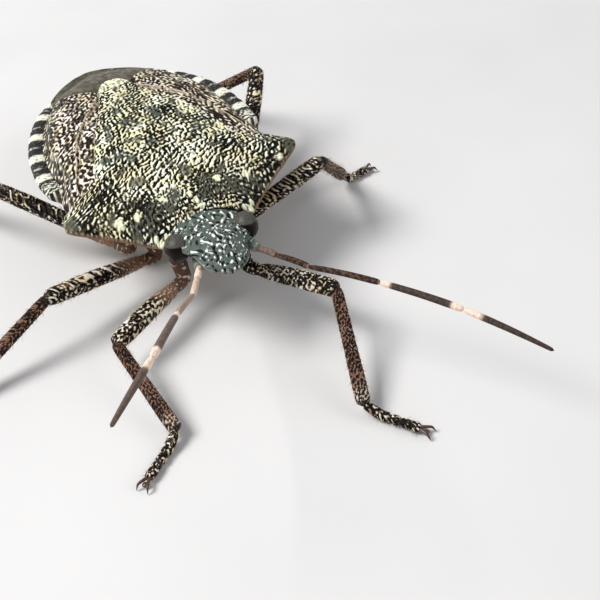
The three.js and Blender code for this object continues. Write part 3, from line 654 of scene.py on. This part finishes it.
def makeMembranes():
    # the front edge runs from the middle to the wings' inner corners, then along their ends to the sides
    s = membraneShape
    u, v = grid(s)
    across = np.abs(u)
    near = np.clip(across / s["corner"], 0, 1)
    past = np.clip((across - s["corner"]) / (1 - s["corner"]), 0, 1)
    inner = across < s["corner"]
    middleY, cornerY, sideY = s["startY"]
    startX = np.where(inner, s["cornerX"] * near, lerp(s["cornerX"], s["sideX"], past))
    startY = np.where(inner, lerp(middleY, cornerY, near ** 2), lerp(cornerY, sideY, past))
    endY = lerp(*s["endY"], across ** 2.2)
    endX = np.where(across < 0.02, membraneHalf(s["endY"][0]) * across / 0.02, membraneHalf(endY))
    x, y = np.sign(u) * lerp(startX, endX, v), lerp(startY, endY, v)
    phase = across * s["veinCount"] + 0.3 * np.sin(4 * v)
    vein = np.cos(np.pi * (phase - np.round(phase))) ** 10 * np.minimum(1, 6 * v * (1 - v) + 0.2)
    fold = s["fold"] * ease(-0.3, 0.1, u + 0.25 * np.sin(3 * v))
    wrinkle = s["wrinkle"] * wavyNoise(x, y, 0.45, 90, 30, 71, 20) * ease(1, 0.8, v)
    top = backHeight(x, y) - s["sink"] + s["veinHeight"] * vein * ease(1, 0.85, v) + fold + wrinkle
    top = np.maximum(top - s["endDroop"] * ease(0.93, 1, v), edgeHeight(y) + s["overRim"])
    values = {"vein": vein, "cloud": cloudNoise(x, y, 0.6, 73),
              "fleck": ease(1.2, 1.9, cloudNoise(x, y, 0.3, 74))}
    plateMesh("wing_membranes_folded", x, y, top, top - s["thickness"], values,
              membraneMaterial, ["wing_membranes"])


membraneMaterial, tree, shader = newMaterial("membraneSkin", **{"Specular IOR Level": 0.12})
smoke = rampTo(tree, readValue(tree, "cloud"), -1.2, 1.4)
smoke = mixColour(tree, smoke, (0.04, 0.034, 0.019), (0.1, 0.084, 0.05))
smoke = mixColour(tree, math(tree, "MULTIPLY", readValue(tree, "vein"), 0.6), smoke, (0.04, 0.028, 0.016))
smoke = mixColour(tree, math(tree, "MULTIPLY", readValue(tree, "fleck"), 0.3), smoke, (0.42, 0.35, 0.26))
setColour(tree, shader, smoke)
ripple = grainOf(tree, 5000.0)
setRough(tree, shader, ripple, 0.3, 0.48)
addRelief(tree, shader, ripple, 0.4, 0.00001)
makeMembranes()
print("membranes made")

# Abdomen: keeled below, with a banded rim standing outside the wings
abdomenShape = {
    "columns": 236, "rows": 208, "frontY": 7.0, "rearY": 14.1, "rimWidth": 0.5, "notch": 0.07,
    "rimDepth": 0.16, "rimRise": 0.05, "sink": 0.45,
    "ridges": {"length": 0.13, "heading": 0, "spread": 60, "bend": 0.03, "seed": 81},
}
segmentEnds = (7.4, 8.72, 10.02, 11.42, 12.66, 13.5)
paleBands = {"y": (8.1, 9.32, 10.71, 12.17, 13.05), "half": 0.22, "dotsAhead": 7.75}


def edgePlace(x, y):
    # where the outline's normal through a point meets the outline, as a distance behind the head's tip
    slope = (halfWidth(y + 0.05) - halfWidth(y - 0.05)) / 0.1
    inset = halfWidth(y) - np.abs(x)
    return y - slope * inset / (1 + slope ** 2)


bandMaterial, tree, shader = newMaterial("bandedRim")
rough = useGroup(tree, pitted, {
    "Ridge": readValue(tree, "ridge"), "Darken": readValue(tree, "darken"),
    "Dark": (0.003, 0.003, 0.003, 1), "Middle": (0.008, 0.008, 0.008, 1), "Pale": (0.035, 0.035, 0.033, 1)})
white = rampTo(tree, readValue(tree, "ridge"), -1.6, -0.6)
white = mixColour(tree, white, (0.3, 0.26, 0.16), (0.82, 0.8, 0.66))
banded = mixColour(tree, readValue(tree, "band"), rough["Colour"], white)
belly = useGroup(tree, pitted, {
    "Ridge": readValue(tree, "ridge"), "Darken": -0.2, "Dark": (0.05, 0.035, 0.02, 1),
    "Middle": (0.36, 0.27, 0.16, 1), "Pale": (0.55, 0.46, 0.3, 1)})
setColour(tree, shader, mixColour(tree, readValue(tree, "belly"), banded, belly["Colour"]))
tree.links.new(rough["Roughness"], shader.inputs["Roughness"])
addRelief(tree, shader, rough["Height"], 0.5, 0.00001)


def makeAbdomen():
    s = abdomenShape
    u, v = grid(s)
    y = lerp(s["frontY"], s["rearY"], v)
    spine = edgePlace(u * halfWidth(y), y)
    half = halfWidth(y) - s["notch"] * sum(bump(spine, end, 0.06) for end in segmentEnds)
    x = np.sin(u * np.pi / 2) * half  # columns crowd towards the rim
    inset = halfWidth(y) - np.abs(x)
    spine = edgePlace(x, y)
    ridge = ridgeField(x, y, s["ridges"])
    seam = sum(bump(spine, end, 0.035) for end in segmentEnds)
    wide = paleBands["half"]
    band = sum(ease(wide + 0.03, wide - 0.05, np.abs(spine - at + 0.02 * ridge)) for at in paleBands["y"])
    dots = ease(0.1, 0.6, ridge) * ease(paleBands["dotsAhead"], paleBands["dotsAhead"] - 0.15, spine)
    hidden = np.minimum(backHeight(x, y) - s["sink"], edgeHeight(y) - 0.12)
    rimTop = edgeHeight(y) + s["rimRise"] * bump(inset, 0.25, 0.2) - 0.04 * seam + 0.008 * ridge
    rimTop = rimTop - 0.05 * ease(0.08, 0, inset)
    top = lerp(rimTop, hidden, ease(s["rimWidth"], s["rimWidth"] + 0.12, inset))
    under = np.minimum(underHeight(x, y, s["rimDepth"]), top - 0.1)
    under = under + 0.03 * seam * ease(0.1, 0.4, inset) + 0.01 * ease(-0.5, 0.5, ridge)
    values = {"ridge": ridge, "darken": 0.7 + 0.3 * seam, "belly": 0.0,
              "band": np.clip(band + 0.9 * seam * ease(0.5, 0.1, inset) + dots, 0, 1)}
    plateMesh("abdomen_shell", x, y, top, under, values, bandMaterial, ["abdomen"],
              below={"belly": ease(0.1, 0.35, inset)})


makeAbdomen()

# Underside of the thorax, with painted shade at its sides and front
thoraxShape = {
    "columns": 150, "rows": 110, "frontY": 3.1, "rearY": 7.6, "widest": 3.4, "inset": 0.55,
    "frontInset": 0.45, "sink": 0.4, "rimDepth": 0.12, "plateEnds": (4.6, 6.1, 7.3), "plateStep": 0.05,
    # side and front: painted shade under the pronotum's edge
    "tone": {"base": 0.1, "plates": 0.3, "side": 0.8, "front": 1.4},
}


def makeThorax():
    s = thoraxShape
    u, v = grid(s)
    y = lerp(s["frontY"], s["rearY"], v)
    x = u * (np.minimum(halfWidth(y), s["widest"]) - s["inset"] - s["frontInset"] * ease(4.2, 3.2, y))
    ridge = wavyNoise(x, y, 0.16, 0, 90, 91)
    plates = sum(bump(y + 0.12 * np.abs(x), at, 0.04) for at in s["plateEnds"])
    top = np.minimum(backHeight(x, y) - s["sink"], edgeHeight(y) - 0.02)
    rim = top - s["rimDepth"]
    under = rim - (rim - np.minimum(underHeight(x, y), top - 0.15)) * (1 - np.abs(u) ** 4)
    under = under + s["plateStep"] * plates + 0.012 * ease(-0.5, 0.5, ridge)
    # darker at the sides and the front as painted shade under the pronotum's edge; the plates' joints are
    # dark of their own
    darken = shade(s["tone"], plates=plates, side=ease(0.75, 0.95, np.abs(u)), front=ease(3.9, 3.4, y))
    values = shellValues(ridge, darken, edge=0.4 * plates)
    plateMesh("thorax_shell", x, y, top, under, values, bellyMaterial, ["thorax"])


makeThorax()
print("abdomen and thorax made")

# Head: flat cheeks with thin edges round a raised middle lobe, by distance ahead of its base
headHalf = smoothCurve([
    [-0.5, 0.98], [0, 1.02], [0.3, 1.03], [0.6, 1.04], [0.9, 0.86], [1.12, 0.75], [1.4, 0.69],
    [1.55, 0.65], [1.68, 0.56], [1.82, 0.4], [1.94, 0.2], [2, 0.06]])
headRidge = smoothCurve([[-0.5, -0.04], [0, 0.02], [0.6, 0.08], [1.3, 0.02], [2, -0.12]])
headRim = smoothCurve([[-0.5, -0.3], [0, -0.2], [0.8, -0.18], [1.2, -0.15], [2, -0.14]])
headKeel = smoothCurve([[-0.5, -1.1], [0, -1.05], [0.8, -0.85], [1.2, -0.66], [1.6, -0.46], [2, -0.22]])
headShape = {
    "columns": 150, "rows": 190, "length": 2.0, "neck": 0.45, "edge": 0.05, "grooveX": 0.24,
    "lobeRise": 0.05, "fleckRise": 0.012, "pitDepth": 0.016, "metal": 0.85,
    "flecks": {"length": 0.175, "heading": 85, "spread": 60, "bend": 0.06, "seed": 101},
}
ocelli = bothSides([[0.5, -0.16, 0.045]])


def makeHead():
    s = headShape
    u, v = grid(s)
    ahead = lerp(-s["neck"], s["length"], 1 - (1 - v) ** 1.4)
    half = headHalf(ahead)
    x, y = np.sin(u * np.pi / 2) * half, -ahead
    fromEdge = np.minimum(half - np.abs(x), s["length"] - ahead + 0.05)
    across = np.abs(x) / half
    ridge = ridgeField(x, y, s["flecks"])
    groove = bump(np.abs(x), s["grooveX"] - 0.05 * ease(1.2, 2, ahead), 0.022) * ease(0.5, 0.9, ahead)
    lobe = s["lobeRise"] * bump(x, 0, 0.2) * ease(0.4, 1.2, ahead)
    pits = ease(-1.0, -1.5, ridge)
    # pale marks: single flecks, broken loops and a line along the middle
    loops = 1 - ease(0.02, 0.15, np.abs(wavyNoise(x, y, 0.32, 0, 60, 105)))
    loops = loops * ease(0.3, 0.8, cloudNoise(x, y, 0.4, 106))
    keel = bump(x, 0.02 * cloudNoise(x, y, 0.5, 107), 0.028)
    keel = keel * ease(0.3, 0.45, ahead) * ease(1.5, 1.2, ahead)
    flecks = np.maximum(np.maximum(ease(1.2, 1.55, ridge), loops), keel * ease(-0.8, 0.2, ridge))
    flecks = flecks * ease(0.0, 0.06, fromEdge)
    rim = headRim(ahead)
    top = rim + (headRidge(ahead) - rim) * (1 - across ** 2.4) + lobe - 0.03 * groove
    top = top + s["fleckRise"] * flecks - s["pitDepth"] * pits - 0.04 * ease(0.07, 0, fromEdge)
    rim = rim - s["edge"]
    under = np.minimum(rim - (rim - headKeel(ahead)) * (1 - across ** 1.6), top - 0.04)
    edge = 0.5 * ease(0.03, 0, fromEdge) * ease(0.9, 1.3, ahead)
    values = shellValues(0.3 * ridge - 0.12 - 1.6 * groove, 0.35 + 2.0 * pits, s["metal"], flecks, edge)
    plateMesh("head_shell", x, y, top, under, values, headMaterial, ["head"], place=fromHead)


makeHead()

# Compound eyes: ellipsoid domes set in the sides of the head, finely faceted, with a painted sky reflection
# on their upper side
eyeShape = {
    "x": 1.03, "y": -0.3, "z": {"left": -0.3, "right": -0.41}, "rx": 0.36, "ry": 0.42, "rz": 0.4,
    "rows": 60, "turns": 90,
}
eyeMaterial, tree, shader = newMaterial("compoundEye", **{"Specular IOR Level": 0.16})
facet = {"Vector": objectPlace(tree), "Scale": 34000.0}
facet = addNode(tree, "TexVoronoi", facet, feature="DISTANCE_TO_EDGE")
# painted reflection: the eye's upper side, facing up and back, is painted grey as the sky seen in it; the
# lower part is dark red-black, partly the eye's own colour and partly painted shade
grey = rampTo(tree, readValue(tree, "rise"), 0.28, 0.42)
lens = mixColour(tree, grey, (0.007, 0.001, 0.001), (0.1, 0.1, 0.083))
lens = mixColour(tree, rampTo(tree, facet.outputs["Distance"], 0.0, 0.12), (0.004, 0.001, 0.001), lens)
setColour(tree, shader, lens)
setRough(tree, shader, grainOf(tree, 9000.0), 0.2, 0.34)
addRelief(tree, shader, rampTo(tree, facet.outputs["Distance"], 0.0, 0.3), 0.5, 0.000004)


def domeRings(centre, radii, rows, turns, gap, pole):
    # an ellipsoid round the axis pole: offset = radii * (cos(tilt), sin(tilt)cos(turn), sin(tilt)sin(turn))
    tilt, turn = np.meshgrid(np.linspace(gap, np.pi - gap, rows), circle(turns), indexing="ij")
    out = np.stack([np.cos(tilt), np.sin(tilt) * np.cos(turn), np.sin(tilt) * np.sin(turn)], -1)
    out = np.roll(out, pole, -1)
    return np.asarray(centre) + out * np.asarray(radii), out


def makeEye(side, word):
    s = eyeShape
    rings, out = domeRings([side * s["x"], s["y"], s["z"][word]], [side * s["rx"], s["ry"], s["rz"]],
                           s["rows"], s["turns"], 0.02, 0)
    # how far each point faces up and back, which places the painted sky reflection on the eye
    rise = 0.45 * out[..., 1] + 0.9 * out[..., 2]
    tubeMesh(f"eye_dome_{word}", rings, {"rise": rise}, eyeMaterial, "eye", [f"eye_{word}"], place=fromHead)


for side, word in sideWords.items():
    makeEye(side, word)


def beadRings(centre, radii, rows=14, turns=20):
    return domeRings(centre, radii, rows, turns, 0.03, 2)[0]


joinTubes("ocelli_pair", [(beadRings([x, y, 0.0], [r, r, 0.06]), {}) for x, y, r in ocelli],
          ocellusMaterial, "eye", place=fromHead)
print("head made")

# Feelers: five segments, narrow at the joints, with pale bands round the last two joints
feelerPaths = {
    "left": [[0.93, -2.98, 2.71], [1.75, -4.6, 2.83], [3.04, -6.25, 2.86], [4.39, -8.14, 2.7],
             [5.69, -10.18, 2.25]],
    "right": [[-0.8, -2.9, 2.8], [-1.62, -4.79, 3.7], [-2.43, -6.28, 4.76], [-3.6, -8.21, 5.69],
              [-5.05, -10.03, 6.23]],
}
feelerShape = {
    "radius": (0.095, 0.085, 0.085, 0.095, 0.09), "firstShare": 0.38, "perSegment": 46, "turns": 26,
    # how pale each segment is painted as a highlight, strongest on the raised right feeler where the key
    # lamp falls
    "paintedLightShare": {"left": (0.15, 0, 0, 0, 0), "right": (0.95, 0.8, 0.45, 0.25, 0.2)}, "bow": (0.009, 0, 0.03),
    "grey": (0.2, 0.2, 0.2, 0.75, 0.75),
}
feelerSockets = {
    "root": {"left": [0.7, -2.5, 2.88], "right": [-0.66, -2.45, 2.78]}, "rows": 30, "turns": 28,
    "radius": smoothCurve([[0, 0.18], [0.7, 0.16], [0.92, 0.13], [1, 0.05]]),
}


def paleShare(k, t):
    # the pale bands of segment k: thin rings at the joints, wide bands on the last two
    if k < 3:
        return (0.0, 0.6, 0.5)[k] * ease((0.9, 0.95, 0.96)[k], 1, t)
    return 1 - ease(0.1, 0.16, t) + ease(0.82, 0.87, t) if k == 3 else 1 - ease(0.18, 0.25, t)


def makeFeeler(word, path):
    s = feelerShape
    joints = np.array(path, float)
    nodes = np.concatenate([joints[:1], [lerp(joints[0], joints[1], s["firstShare"])], joints[1:]])
    t = np.linspace(0, 1, s["perSegment"])
    turn = circle(s["turns"])
    dome = np.sqrt(1 - ((t - 0.96) / 0.04).clip(0, 0.98) ** 2)
    tubes = []
    for k in range(5):
        last = k == 4
        neck = 1 - 0.38 * np.exp(-t / 0.05) - (0 if last else 0.3) * np.exp(-(1 - t) / 0.05)
        taper = 1 - 0.45 * t ** 2 if last else 0.92 + 0.14 * t
        radius = s["radius"][k] * neck * taper * dome
        line = lerp(nodes[k], nodes[k + 1], t[:, None]) + np.sin(np.pi * t)[:, None] * s["bow"]
        rings, _, _ = tubeParts(line, radius, radius, [0, 0, 1], s["turns"])
        length = np.linalg.norm(nodes[k + 1] - nodes[k])
        ridge = wavyNoise(t[:, None] * length, 0.12 * np.cos(turn)[None], 0.14, 0, 90, 110 + k)
        # painted highlight: the raised right feeler's segments are painted pale where the lamp falls on
        # them, the left's first segment a little
        pale = np.maximum(paleShare(k, t), s["paintedLightShare"][word][k])[:, None]
        tubes.append((rings, shellValues(ridge, 0.1, 0.0, pale, s["grey"][k] * (1 - pale))))
    joinTubes(f"feeler_{word}", tubes, feelerMaterial, "feeler", [f"antenna_{word}"])

    # the bulge of the head that carries the feeler
    s = feelerSockets
    t = np.linspace(0, 1, s["rows"])
    line = lerp(np.array(s["root"][word]), joints[0] + 0.04 * (joints[1] - joints[0]), t[:, None])
    rings, _, _ = tubeParts(line, s["radius"](t), s["radius"](t), [0, 0, 1], s["turns"])
    ridge = wavyNoise(t[:, None], np.linspace(0, 1, s["turns"])[None], 0.15, 0, 90, 130)
    spot, edge = 0.4 * ease(1.3, 1.6, ridge), 0.3 * ease(0.6, 0.9, t)[:, None]
    values = shellValues(ridge * 0.4, 0.3, 0.8, spot, edge)
    tubeMesh(f"feeler_socket_{word}", rings, values, headMaterial, "head_shell")


for word, path in feelerPaths.items():
    makeFeeler(word, path)
print("feelers made")

# Beak: four segments folded back along the underside
beakPath = np.array([
    [-0.15, -3.16, 2.6], [-0.15, -2.85, 2.52], [-0.13, -2.43, 2.43], [-0.12, -2.0, 2.1],
    [-0.06, -1.6, 1.5], [0, -1, 1.16], [0, 0.2, 0.88], [0, 1.7, 0.66]])
beakRadius = smoothCurve([[0, 0.12], [0.05, 0.18], [0.6, 0.16], [0.95, 0.1], [1, 0.02]])
beakJoints = (0.26, 0.52, 0.77)


def makeBeak():
    at = np.linspace(0, 1, 120)
    known = np.linspace(0, 1, len(beakPath))
    path = np.stack([np.interp(at, known, beakPath[:, k]) for k in range(3)], -1)
    wide = beakRadius(at) * (1 - 0.25 * sum(bump(at, joint, 0.012) for joint in beakJoints))
    rings, _, _ = tubeParts(path, wide, wide * 0.8, [1, 0, 0], 24)
    ridge = wavyNoise(at[:, None] * 5, np.linspace(0, 1, 24)[None], 0.2, 90, 60, 121)
    values = shellValues(ridge, 0.0, 0.0, 0.4, ease(0.9, 1, at)[:, None])
    tubeMesh("beak_sheath", rings, values, limbMaterial, "limb", ["beak"])


makeBeak()

# Legs in the floor frame: hip, knee, ankle, last joint of the foot
legJoints = {
    "front_left": [[0.92, -1.82, 1.13], [2.42, -4.74, 1.74], [1.49, -7.76, 0.41], [2.45, -9.13, 0.2]],
    "front_right": [[-0.92, -1.3, 1.2], [-3.61, -2.63, 1.1], [-3.2, -5.84, 0.4], [-4.45, -6.8, 0.2]],
    "middle_left": [[1.25, 0.32, 0.93], [4.19, -0.71, 2.96], [5.79, 1.28, 0.5], [6.85, 1.45, 0.2]],
    "middle_right": [[-1.24, 0.39, 1], [-4.85, -0.48, 1.78], [-8.14, -1.29, 0.42], [-9.66, -2.02, 0.2]],
    "hind_left": [[2.35, 1.8, 0.7], [4.86, 5.25, 2.95], [3.3, 8.75, 0.4], [4.2, 10.35, 0.2]],
    "hind_right": [[-1.8, 1.39, 0.79], [-4.88, 4.65, 2.55], [-6.9, 8.75, 0.41], [-7.9, 10.35, 0.2]],
}
coxaRoots = {"front": (0.95, 3.75), "middle": (1.15, 5.4), "hind": (1.45, 6.6)}
legShape = {
    "turns": 56, "footTurns": 36, "ring": 0.45, "hairLength": (0.08, 0.2), "hairWidth": 0.008,
    "clawLength": 0.32, "footHeight": 0.17, "bow": 0.04, "prism": 0.07, "hindDarken": 0.5,
    "bareStart": ("front_left", "middle_left"),  # mottled from the very start
}
hipRadius = {
    "coxa": smoothCurve([[0, 0.28], [0.5, 0.24], [0.85, 0.21], [0.96, 0.15], [1, 0.04]]),
    "ring": smoothCurve([[0, 0.05], [0.15, 0.18], [0.5, 0.2], [0.9, 0.18], [1, 0.08]]),
}
# each part of a limb: its radius along it, its mottling, and its shares of pale or tan and of black
limbKinds = {
    "thigh": {
        "radius": smoothCurve([
            [0, 0.13], [0.05, 0.19], [0.3, 0.25], [0.7, 0.27], [0.92, 0.25], [0.97, 0.21], [1, 0.1]]),
        "flat": 0.94, "relief": 0.05, "length": 0.155, "heading": 60, "darken": 0.6, "wrap": 0.26,
        "hairs": 260,
        "spot": lambda t, ridge: 0.85 * ease(0.4, 0.1, t) * (0.8 + 0.2 * np.clip(-ridge, 0, 1)),
        "black": lambda t: 0.8 * ease(0.965, 0.99, t)},
    "shin": {
        "radius": smoothCurve([
            [0, 0.1], [0.03, 0.16], [0.1, 0.17], [0.5, 0.18], [0.9, 0.2], [0.97, 0.19], [1, 0.08]]),
        "flat": 1.0, "relief": 0.05, "length": 0.11, "heading": 75, "darken": 0.4, "wrap": 0.18,
        "hairs": 240,
        "spot": lambda t, ridge: 0.7 * ease(0.82, 0.93, t) * ease(0.3, 0.8, ridge),
        "black": lambda t: 0.9 * ease(0.06, 0.02, t) + 0.8 * ease(0.965, 0.99, t)},
    "foot": {
        "radius": smoothCurve([
            [0, 0.07], [0.04, 0.12], [0.25, 0.15], [0.42, 0.15], [0.46, 0.1], [0.5, 0.13], [0.6, 0.14],
            [0.64, 0.1], [0.69, 0.13], [0.9, 0.14], [0.97, 0.11], [1, 0.04]]),
        "flat": 0.95, "relief": 0.0, "length": 0.13, "heading": 80, "darken": 0.9, "wrap": 0.14,
        "hairs": 90,
        "spot": lambda t, ridge: 0.0 * ridge,
        "black": lambda t: 0.8 * (bump(t, 0.46, 0.02) + bump(t, 0.64, 0.02))},
}
clawCurves = {
    "forward": smoothCurve([[0, -0.1], [0.5, 0.6], [1, 1]]),
    "aside": smoothCurve([[0, 0.12], [0.5, 0.42], [1, 0.55]]),
    "height": smoothCurve([[0, 0.19], [0.5, 0.2], [1, 0.03]]),
    "radius": smoothCurve([[0, 0.05], [0.6, 0.035], [1, 0.008]]),
}


def addHairs(rings, out, along, count, seed, store):
    # roots at random over the skin, leaning outwards and towards the foot
    rng = np.random.default_rng(seed)
    rows, turns = rings.shape[:2]
    j, i = rng.integers(int(rows * 0.06), int(rows * 0.97), count), rng.integers(0, turns, count)
    outward = out[j, i] / np.linalg.norm(out[j, i], axis=1, keepdims=True)
    lean = outward * rng.uniform(0.6, 1.0, (count, 1)) + along[j] * rng.uniform(0.4, 0.9, (count, 1))
    lean += 0.12 * rng.standard_normal((count, 3))
    store.append((rings[j, i], lean / np.linalg.norm(lean, axis=1, keepdims=True),
                  rng.uniform(*legShape["hairLength"], count)))


def makeSegment(leg, part, node, line, up, turns, length, seed, hairs, prism=0.0, darker=0.0,
                spotShare=1.0):
    # one part of a limb along a line, with the ridge pattern unrolled from it; the hairs' places are stored
    kind = limbKinds[part]
    at = np.linspace(0, 1, len(line))[:, None]
    wide = kind["radius"](at[:, 0])
    rings, outward, along = tubeParts(line, wide, wide * kind["flat"], up, turns)
    wrap = kind["wrap"] * 1.4
    x, y, z = np.broadcast_arrays(at * length, np.cos(circle(turns)) * wrap, np.sin(circle(turns)) * wrap)
    ridge = wavyNoise(x + 0.5 * z, y + 0.3 * z, kind["length"], kind["heading"], 90, seed)
    darken = kind["darken"] + 0.35 * cloudNoise(x, y, 0.7, seed + 1) + darker
    values = shellValues(ridge, darken, 0.0, spotShare * kind["spot"](at, ridge), kind["black"](at))
    rings = rings + outward * (prism + kind["relief"] * ease(-0.5, 0.5, ridge))[..., None]
    rings[..., 2] = np.maximum(rings[..., 2], 0.012)
    material = shinMaterial if part == "shin" else limbMaterial
    tubeMesh(f"leg_{leg}_{part}", rings, values, material, "foot" if part == "foot" else "limb",
             [f"leg_{leg}_{node}"])
    addHairs(rings, outward, along, kind["hairs"], seed + 1, hairs)


def makeLeg(name, seed):
    s = legShape
    pair, word = name.split("_")
    hip, knee, ankle, toe = np.array(legJoints[name], float)
    rootX, rootY = coxaRoots[pair]
    rootX = rootX if word == "left" else -rootX
    root = np.array([rootX, rootY, underHeight(rootX, rootY) + 0.15])
    root = fromBody(root) + np.array([*stance["floorCentre"], 0])
    thigh, shin = np.linalg.norm(knee - hip), np.linalg.norm(ankle - knee)
    down, out = (knee - hip) / thigh, (ankle - knee) / shin
    normal = np.cross(down, out)
    normal /= np.linalg.norm(normal)
    mottled = name in s["bareStart"]
    hairs = []

    # coxa and trochanter: a stout cone from the body, then a short ring in line with the femur
    at = np.linspace(0, 1, 40)
    ends = {"coxa": (root, hip + 0.12 * (hip - root) / np.linalg.norm(hip - root), [0, 1, 0.2]),
            "ring": (hip - 0.15 * down, hip + (s["ring"] + 0.1) * down, normal)}
    ridge = wavyNoise(at[:, None], np.linspace(0, 1, 40)[None], 0.16, 0, 90, seed)
    # painted shade: the hips are darkened all over, as they lie in shade under the body
    plain = shellValues(ridge, 1.0, 0.0, 0.0 if mottled else 0.35, 0.0)
    tubes = []
    for part, (start, end, up) in ends.items():
        wide = hipRadius[part](at)
        tubes.append((tubeParts(lerp(start, end, at[:, None]), wide, wide, up, 40)[0], plain))
    joinTubes(f"leg_{name}_hip", tubes, limbMaterial, "limb", [f"leg_{name}_coxa"])

    # femur: swells towards the knee, slightly bowed
    at = np.linspace(0, 1, 150)[:, None]
    line = lerp(hip + (s["ring"] - 0.02) * down, knee + 0.06 * down, at)
    line = line + s["bow"] * np.sin(np.pi * at) * [0, 0, 1]
    makeSegment(name, "thigh", "femur", line, normal, s["turns"], thigh, seed + 1, hairs,
                darker=s["hindDarken"] * (pair == "hind"), spotShare=1.0 - mottled)

    # tibia: three-sided, with pale marks near its end
    line = lerp(knee - 0.03 * out, ankle + 0.04 * out, at)
    prism = s["prism"] * np.cos(3 * circle(s["turns"])) * np.minimum(1, 8 * at * (1 - at))
    makeSegment(name, "shin", "tibia", line, normal, s["turns"], shin, seed + 3, hairs, prism)

    # foot: three segments low over the floor, then two claws with a pad between them
    heel = lerp(ankle, toe, 0.3)
    heel[2] = toe[2] = s["footHeight"]
    at = np.linspace(0, 1, 110)[:, None]
    bend = np.linalg.norm(heel - ankle) / (np.linalg.norm(heel - ankle) + np.linalg.norm(toe - heel))
    line = np.where(at < bend, lerp(ankle, heel, at / bend), lerp(heel, toe, (at - bend) / (1 - bend)))
    kernel = np.ones(15) / 15
    line = np.stack([np.convolve(np.pad(line[:, k], 7, "edge"), kernel, "valid") for k in range(3)], -1)
    makeSegment(name, "foot", "tarsus", line, [0.01, 0.02, 1], s["footTurns"], 1.6, seed + 5, hairs)

    ahead = toe - heel
    ahead /= np.linalg.norm(ahead)
    beside = np.array([ahead[1], -ahead[0], 0])
    t = np.linspace(0, 1, 24)
    forward, aside, height, thick = (clawCurves[key](t) for key in ("forward", "aside", "height", "radius"))
    tubes = []
    for turnSide in sideWords:
        claw = toe + s["clawLength"] * (forward[:, None] * ahead + turnSide * aside[:, None] * beside)
        claw[:, 2] = height
        tubes.append((tubeParts(claw, thick, thick, [0, 0, 1], 12)[0], {}))
    tubes.append((beadRings(toe + 0.12 * ahead - [0, 0, 0.06], [0.09, 0.09, 0.05], 10, 14), {}))
    joinTubes(f"leg_{name}_claws", tubes, clawMaterial, "foot")

    roots, leans, lengths = (np.concatenate(part) for part in zip(*hairs))
    clear = (roots + leans * lengths[:, None])[:, 2] > 0.01  # none reaches into the floor
    coneHairs(f"leg_{name}_hairs", roots[clear], leans[clear], lengths[clear], s["hairWidth"],
              hairMaterial)


for number, name in enumerate(legJoints):
    makeLeg(name, 200 + 20 * number)
print("legs made")

# Studio: pale floor, soft lights, and the camera where the photo was taken from
studio = {
    "floorHalf": 0.6, "floorTones": ((0.62, 0.61, 0.6), (0.66, 0.65, 0.64)), "skyStrength": 0.38,
    "lamps": {"key": ((-0.07, 0.03, 0.11), 0.06, 0.215), "fill": ((0.09, -0.06, 0.07), 0.08, 0.045)},
}
cameraAt = {
    "position": (-5.904, -23.285, 21.044),
    "right": (0.88533, -0.45273, -0.10599), "up": (0.38498, 0.58588, 0.71312),
    "back": (-0.26075, -0.67215, 0.69299), "lens": 59.91,
}


def makeStudio():
    half = studio["floorHalf"]
    mesh = bpy.data.meshes.new("floor")
    corners = [(-half, -half, 0), (half, -half, 0), (half, half, 0), (-half, half, 0)]
    mesh.from_pydata(corners, [], [(0, 1, 2, 3)])
    floor = bpy.data.objects.new("floor", mesh)
    bpy.context.scene.collection.objects.link(floor)
    material, tree, shader = newMaterial("paleFloor")
    tone = rampTo(tree, grainOf(tree, 60.0), 0.3, 0.7)
    setColour(tree, shader, mixColour(tree, tone, *studio["floorTones"]))
    setRough(tree, shader, grainOf(tree, 300.0), 0.6, 0.75)
    mesh.materials.append(material)
    for name, (place, size, power) in studio["lamps"].items():
        light = bpy.data.lights.new(name, "AREA")
        light.size, light.energy = size, power
        lamp = bpy.data.objects.new(name, light)
        lamp.location = place
        lamp.rotation_euler = (-Vector(place)).to_track_quat("-Z", "Y").to_euler()
        bpy.context.scene.collection.objects.link(lamp)
    world = bpy.data.worlds.new("studioSky")
    bpy.context.scene.world = world
    world.use_nodes = True
    sky = world.node_tree.nodes["Background"].inputs
    sky["Color"].default_value, sky["Strength"].default_value = (0.93, 0.95, 1, 1), studio["skyStrength"]


def makeCamera():
    data = bpy.data.cameras.new("camera")
    data.sensor_width, data.lens = 36, cameraAt["lens"]
    data.clip_start, data.clip_end = 0.001, 10
    camera = bpy.data.objects.new("camera", data)
    axes = Matrix([cameraAt["right"], cameraAt["up"], cameraAt["back"]]).transposed()
    place = Vector(fromFloor(cameraAt["position"]) * metre)
    camera.matrix_world = Matrix.Translation(place) @ axes.to_4x4()
    bpy.context.scene.collection.objects.link(camera)
    bpy.context.scene.camera = camera


makeStudio()
makeCamera()
bpy.context.scene.view_settings.view_transform = "Standard"
print("studio made")
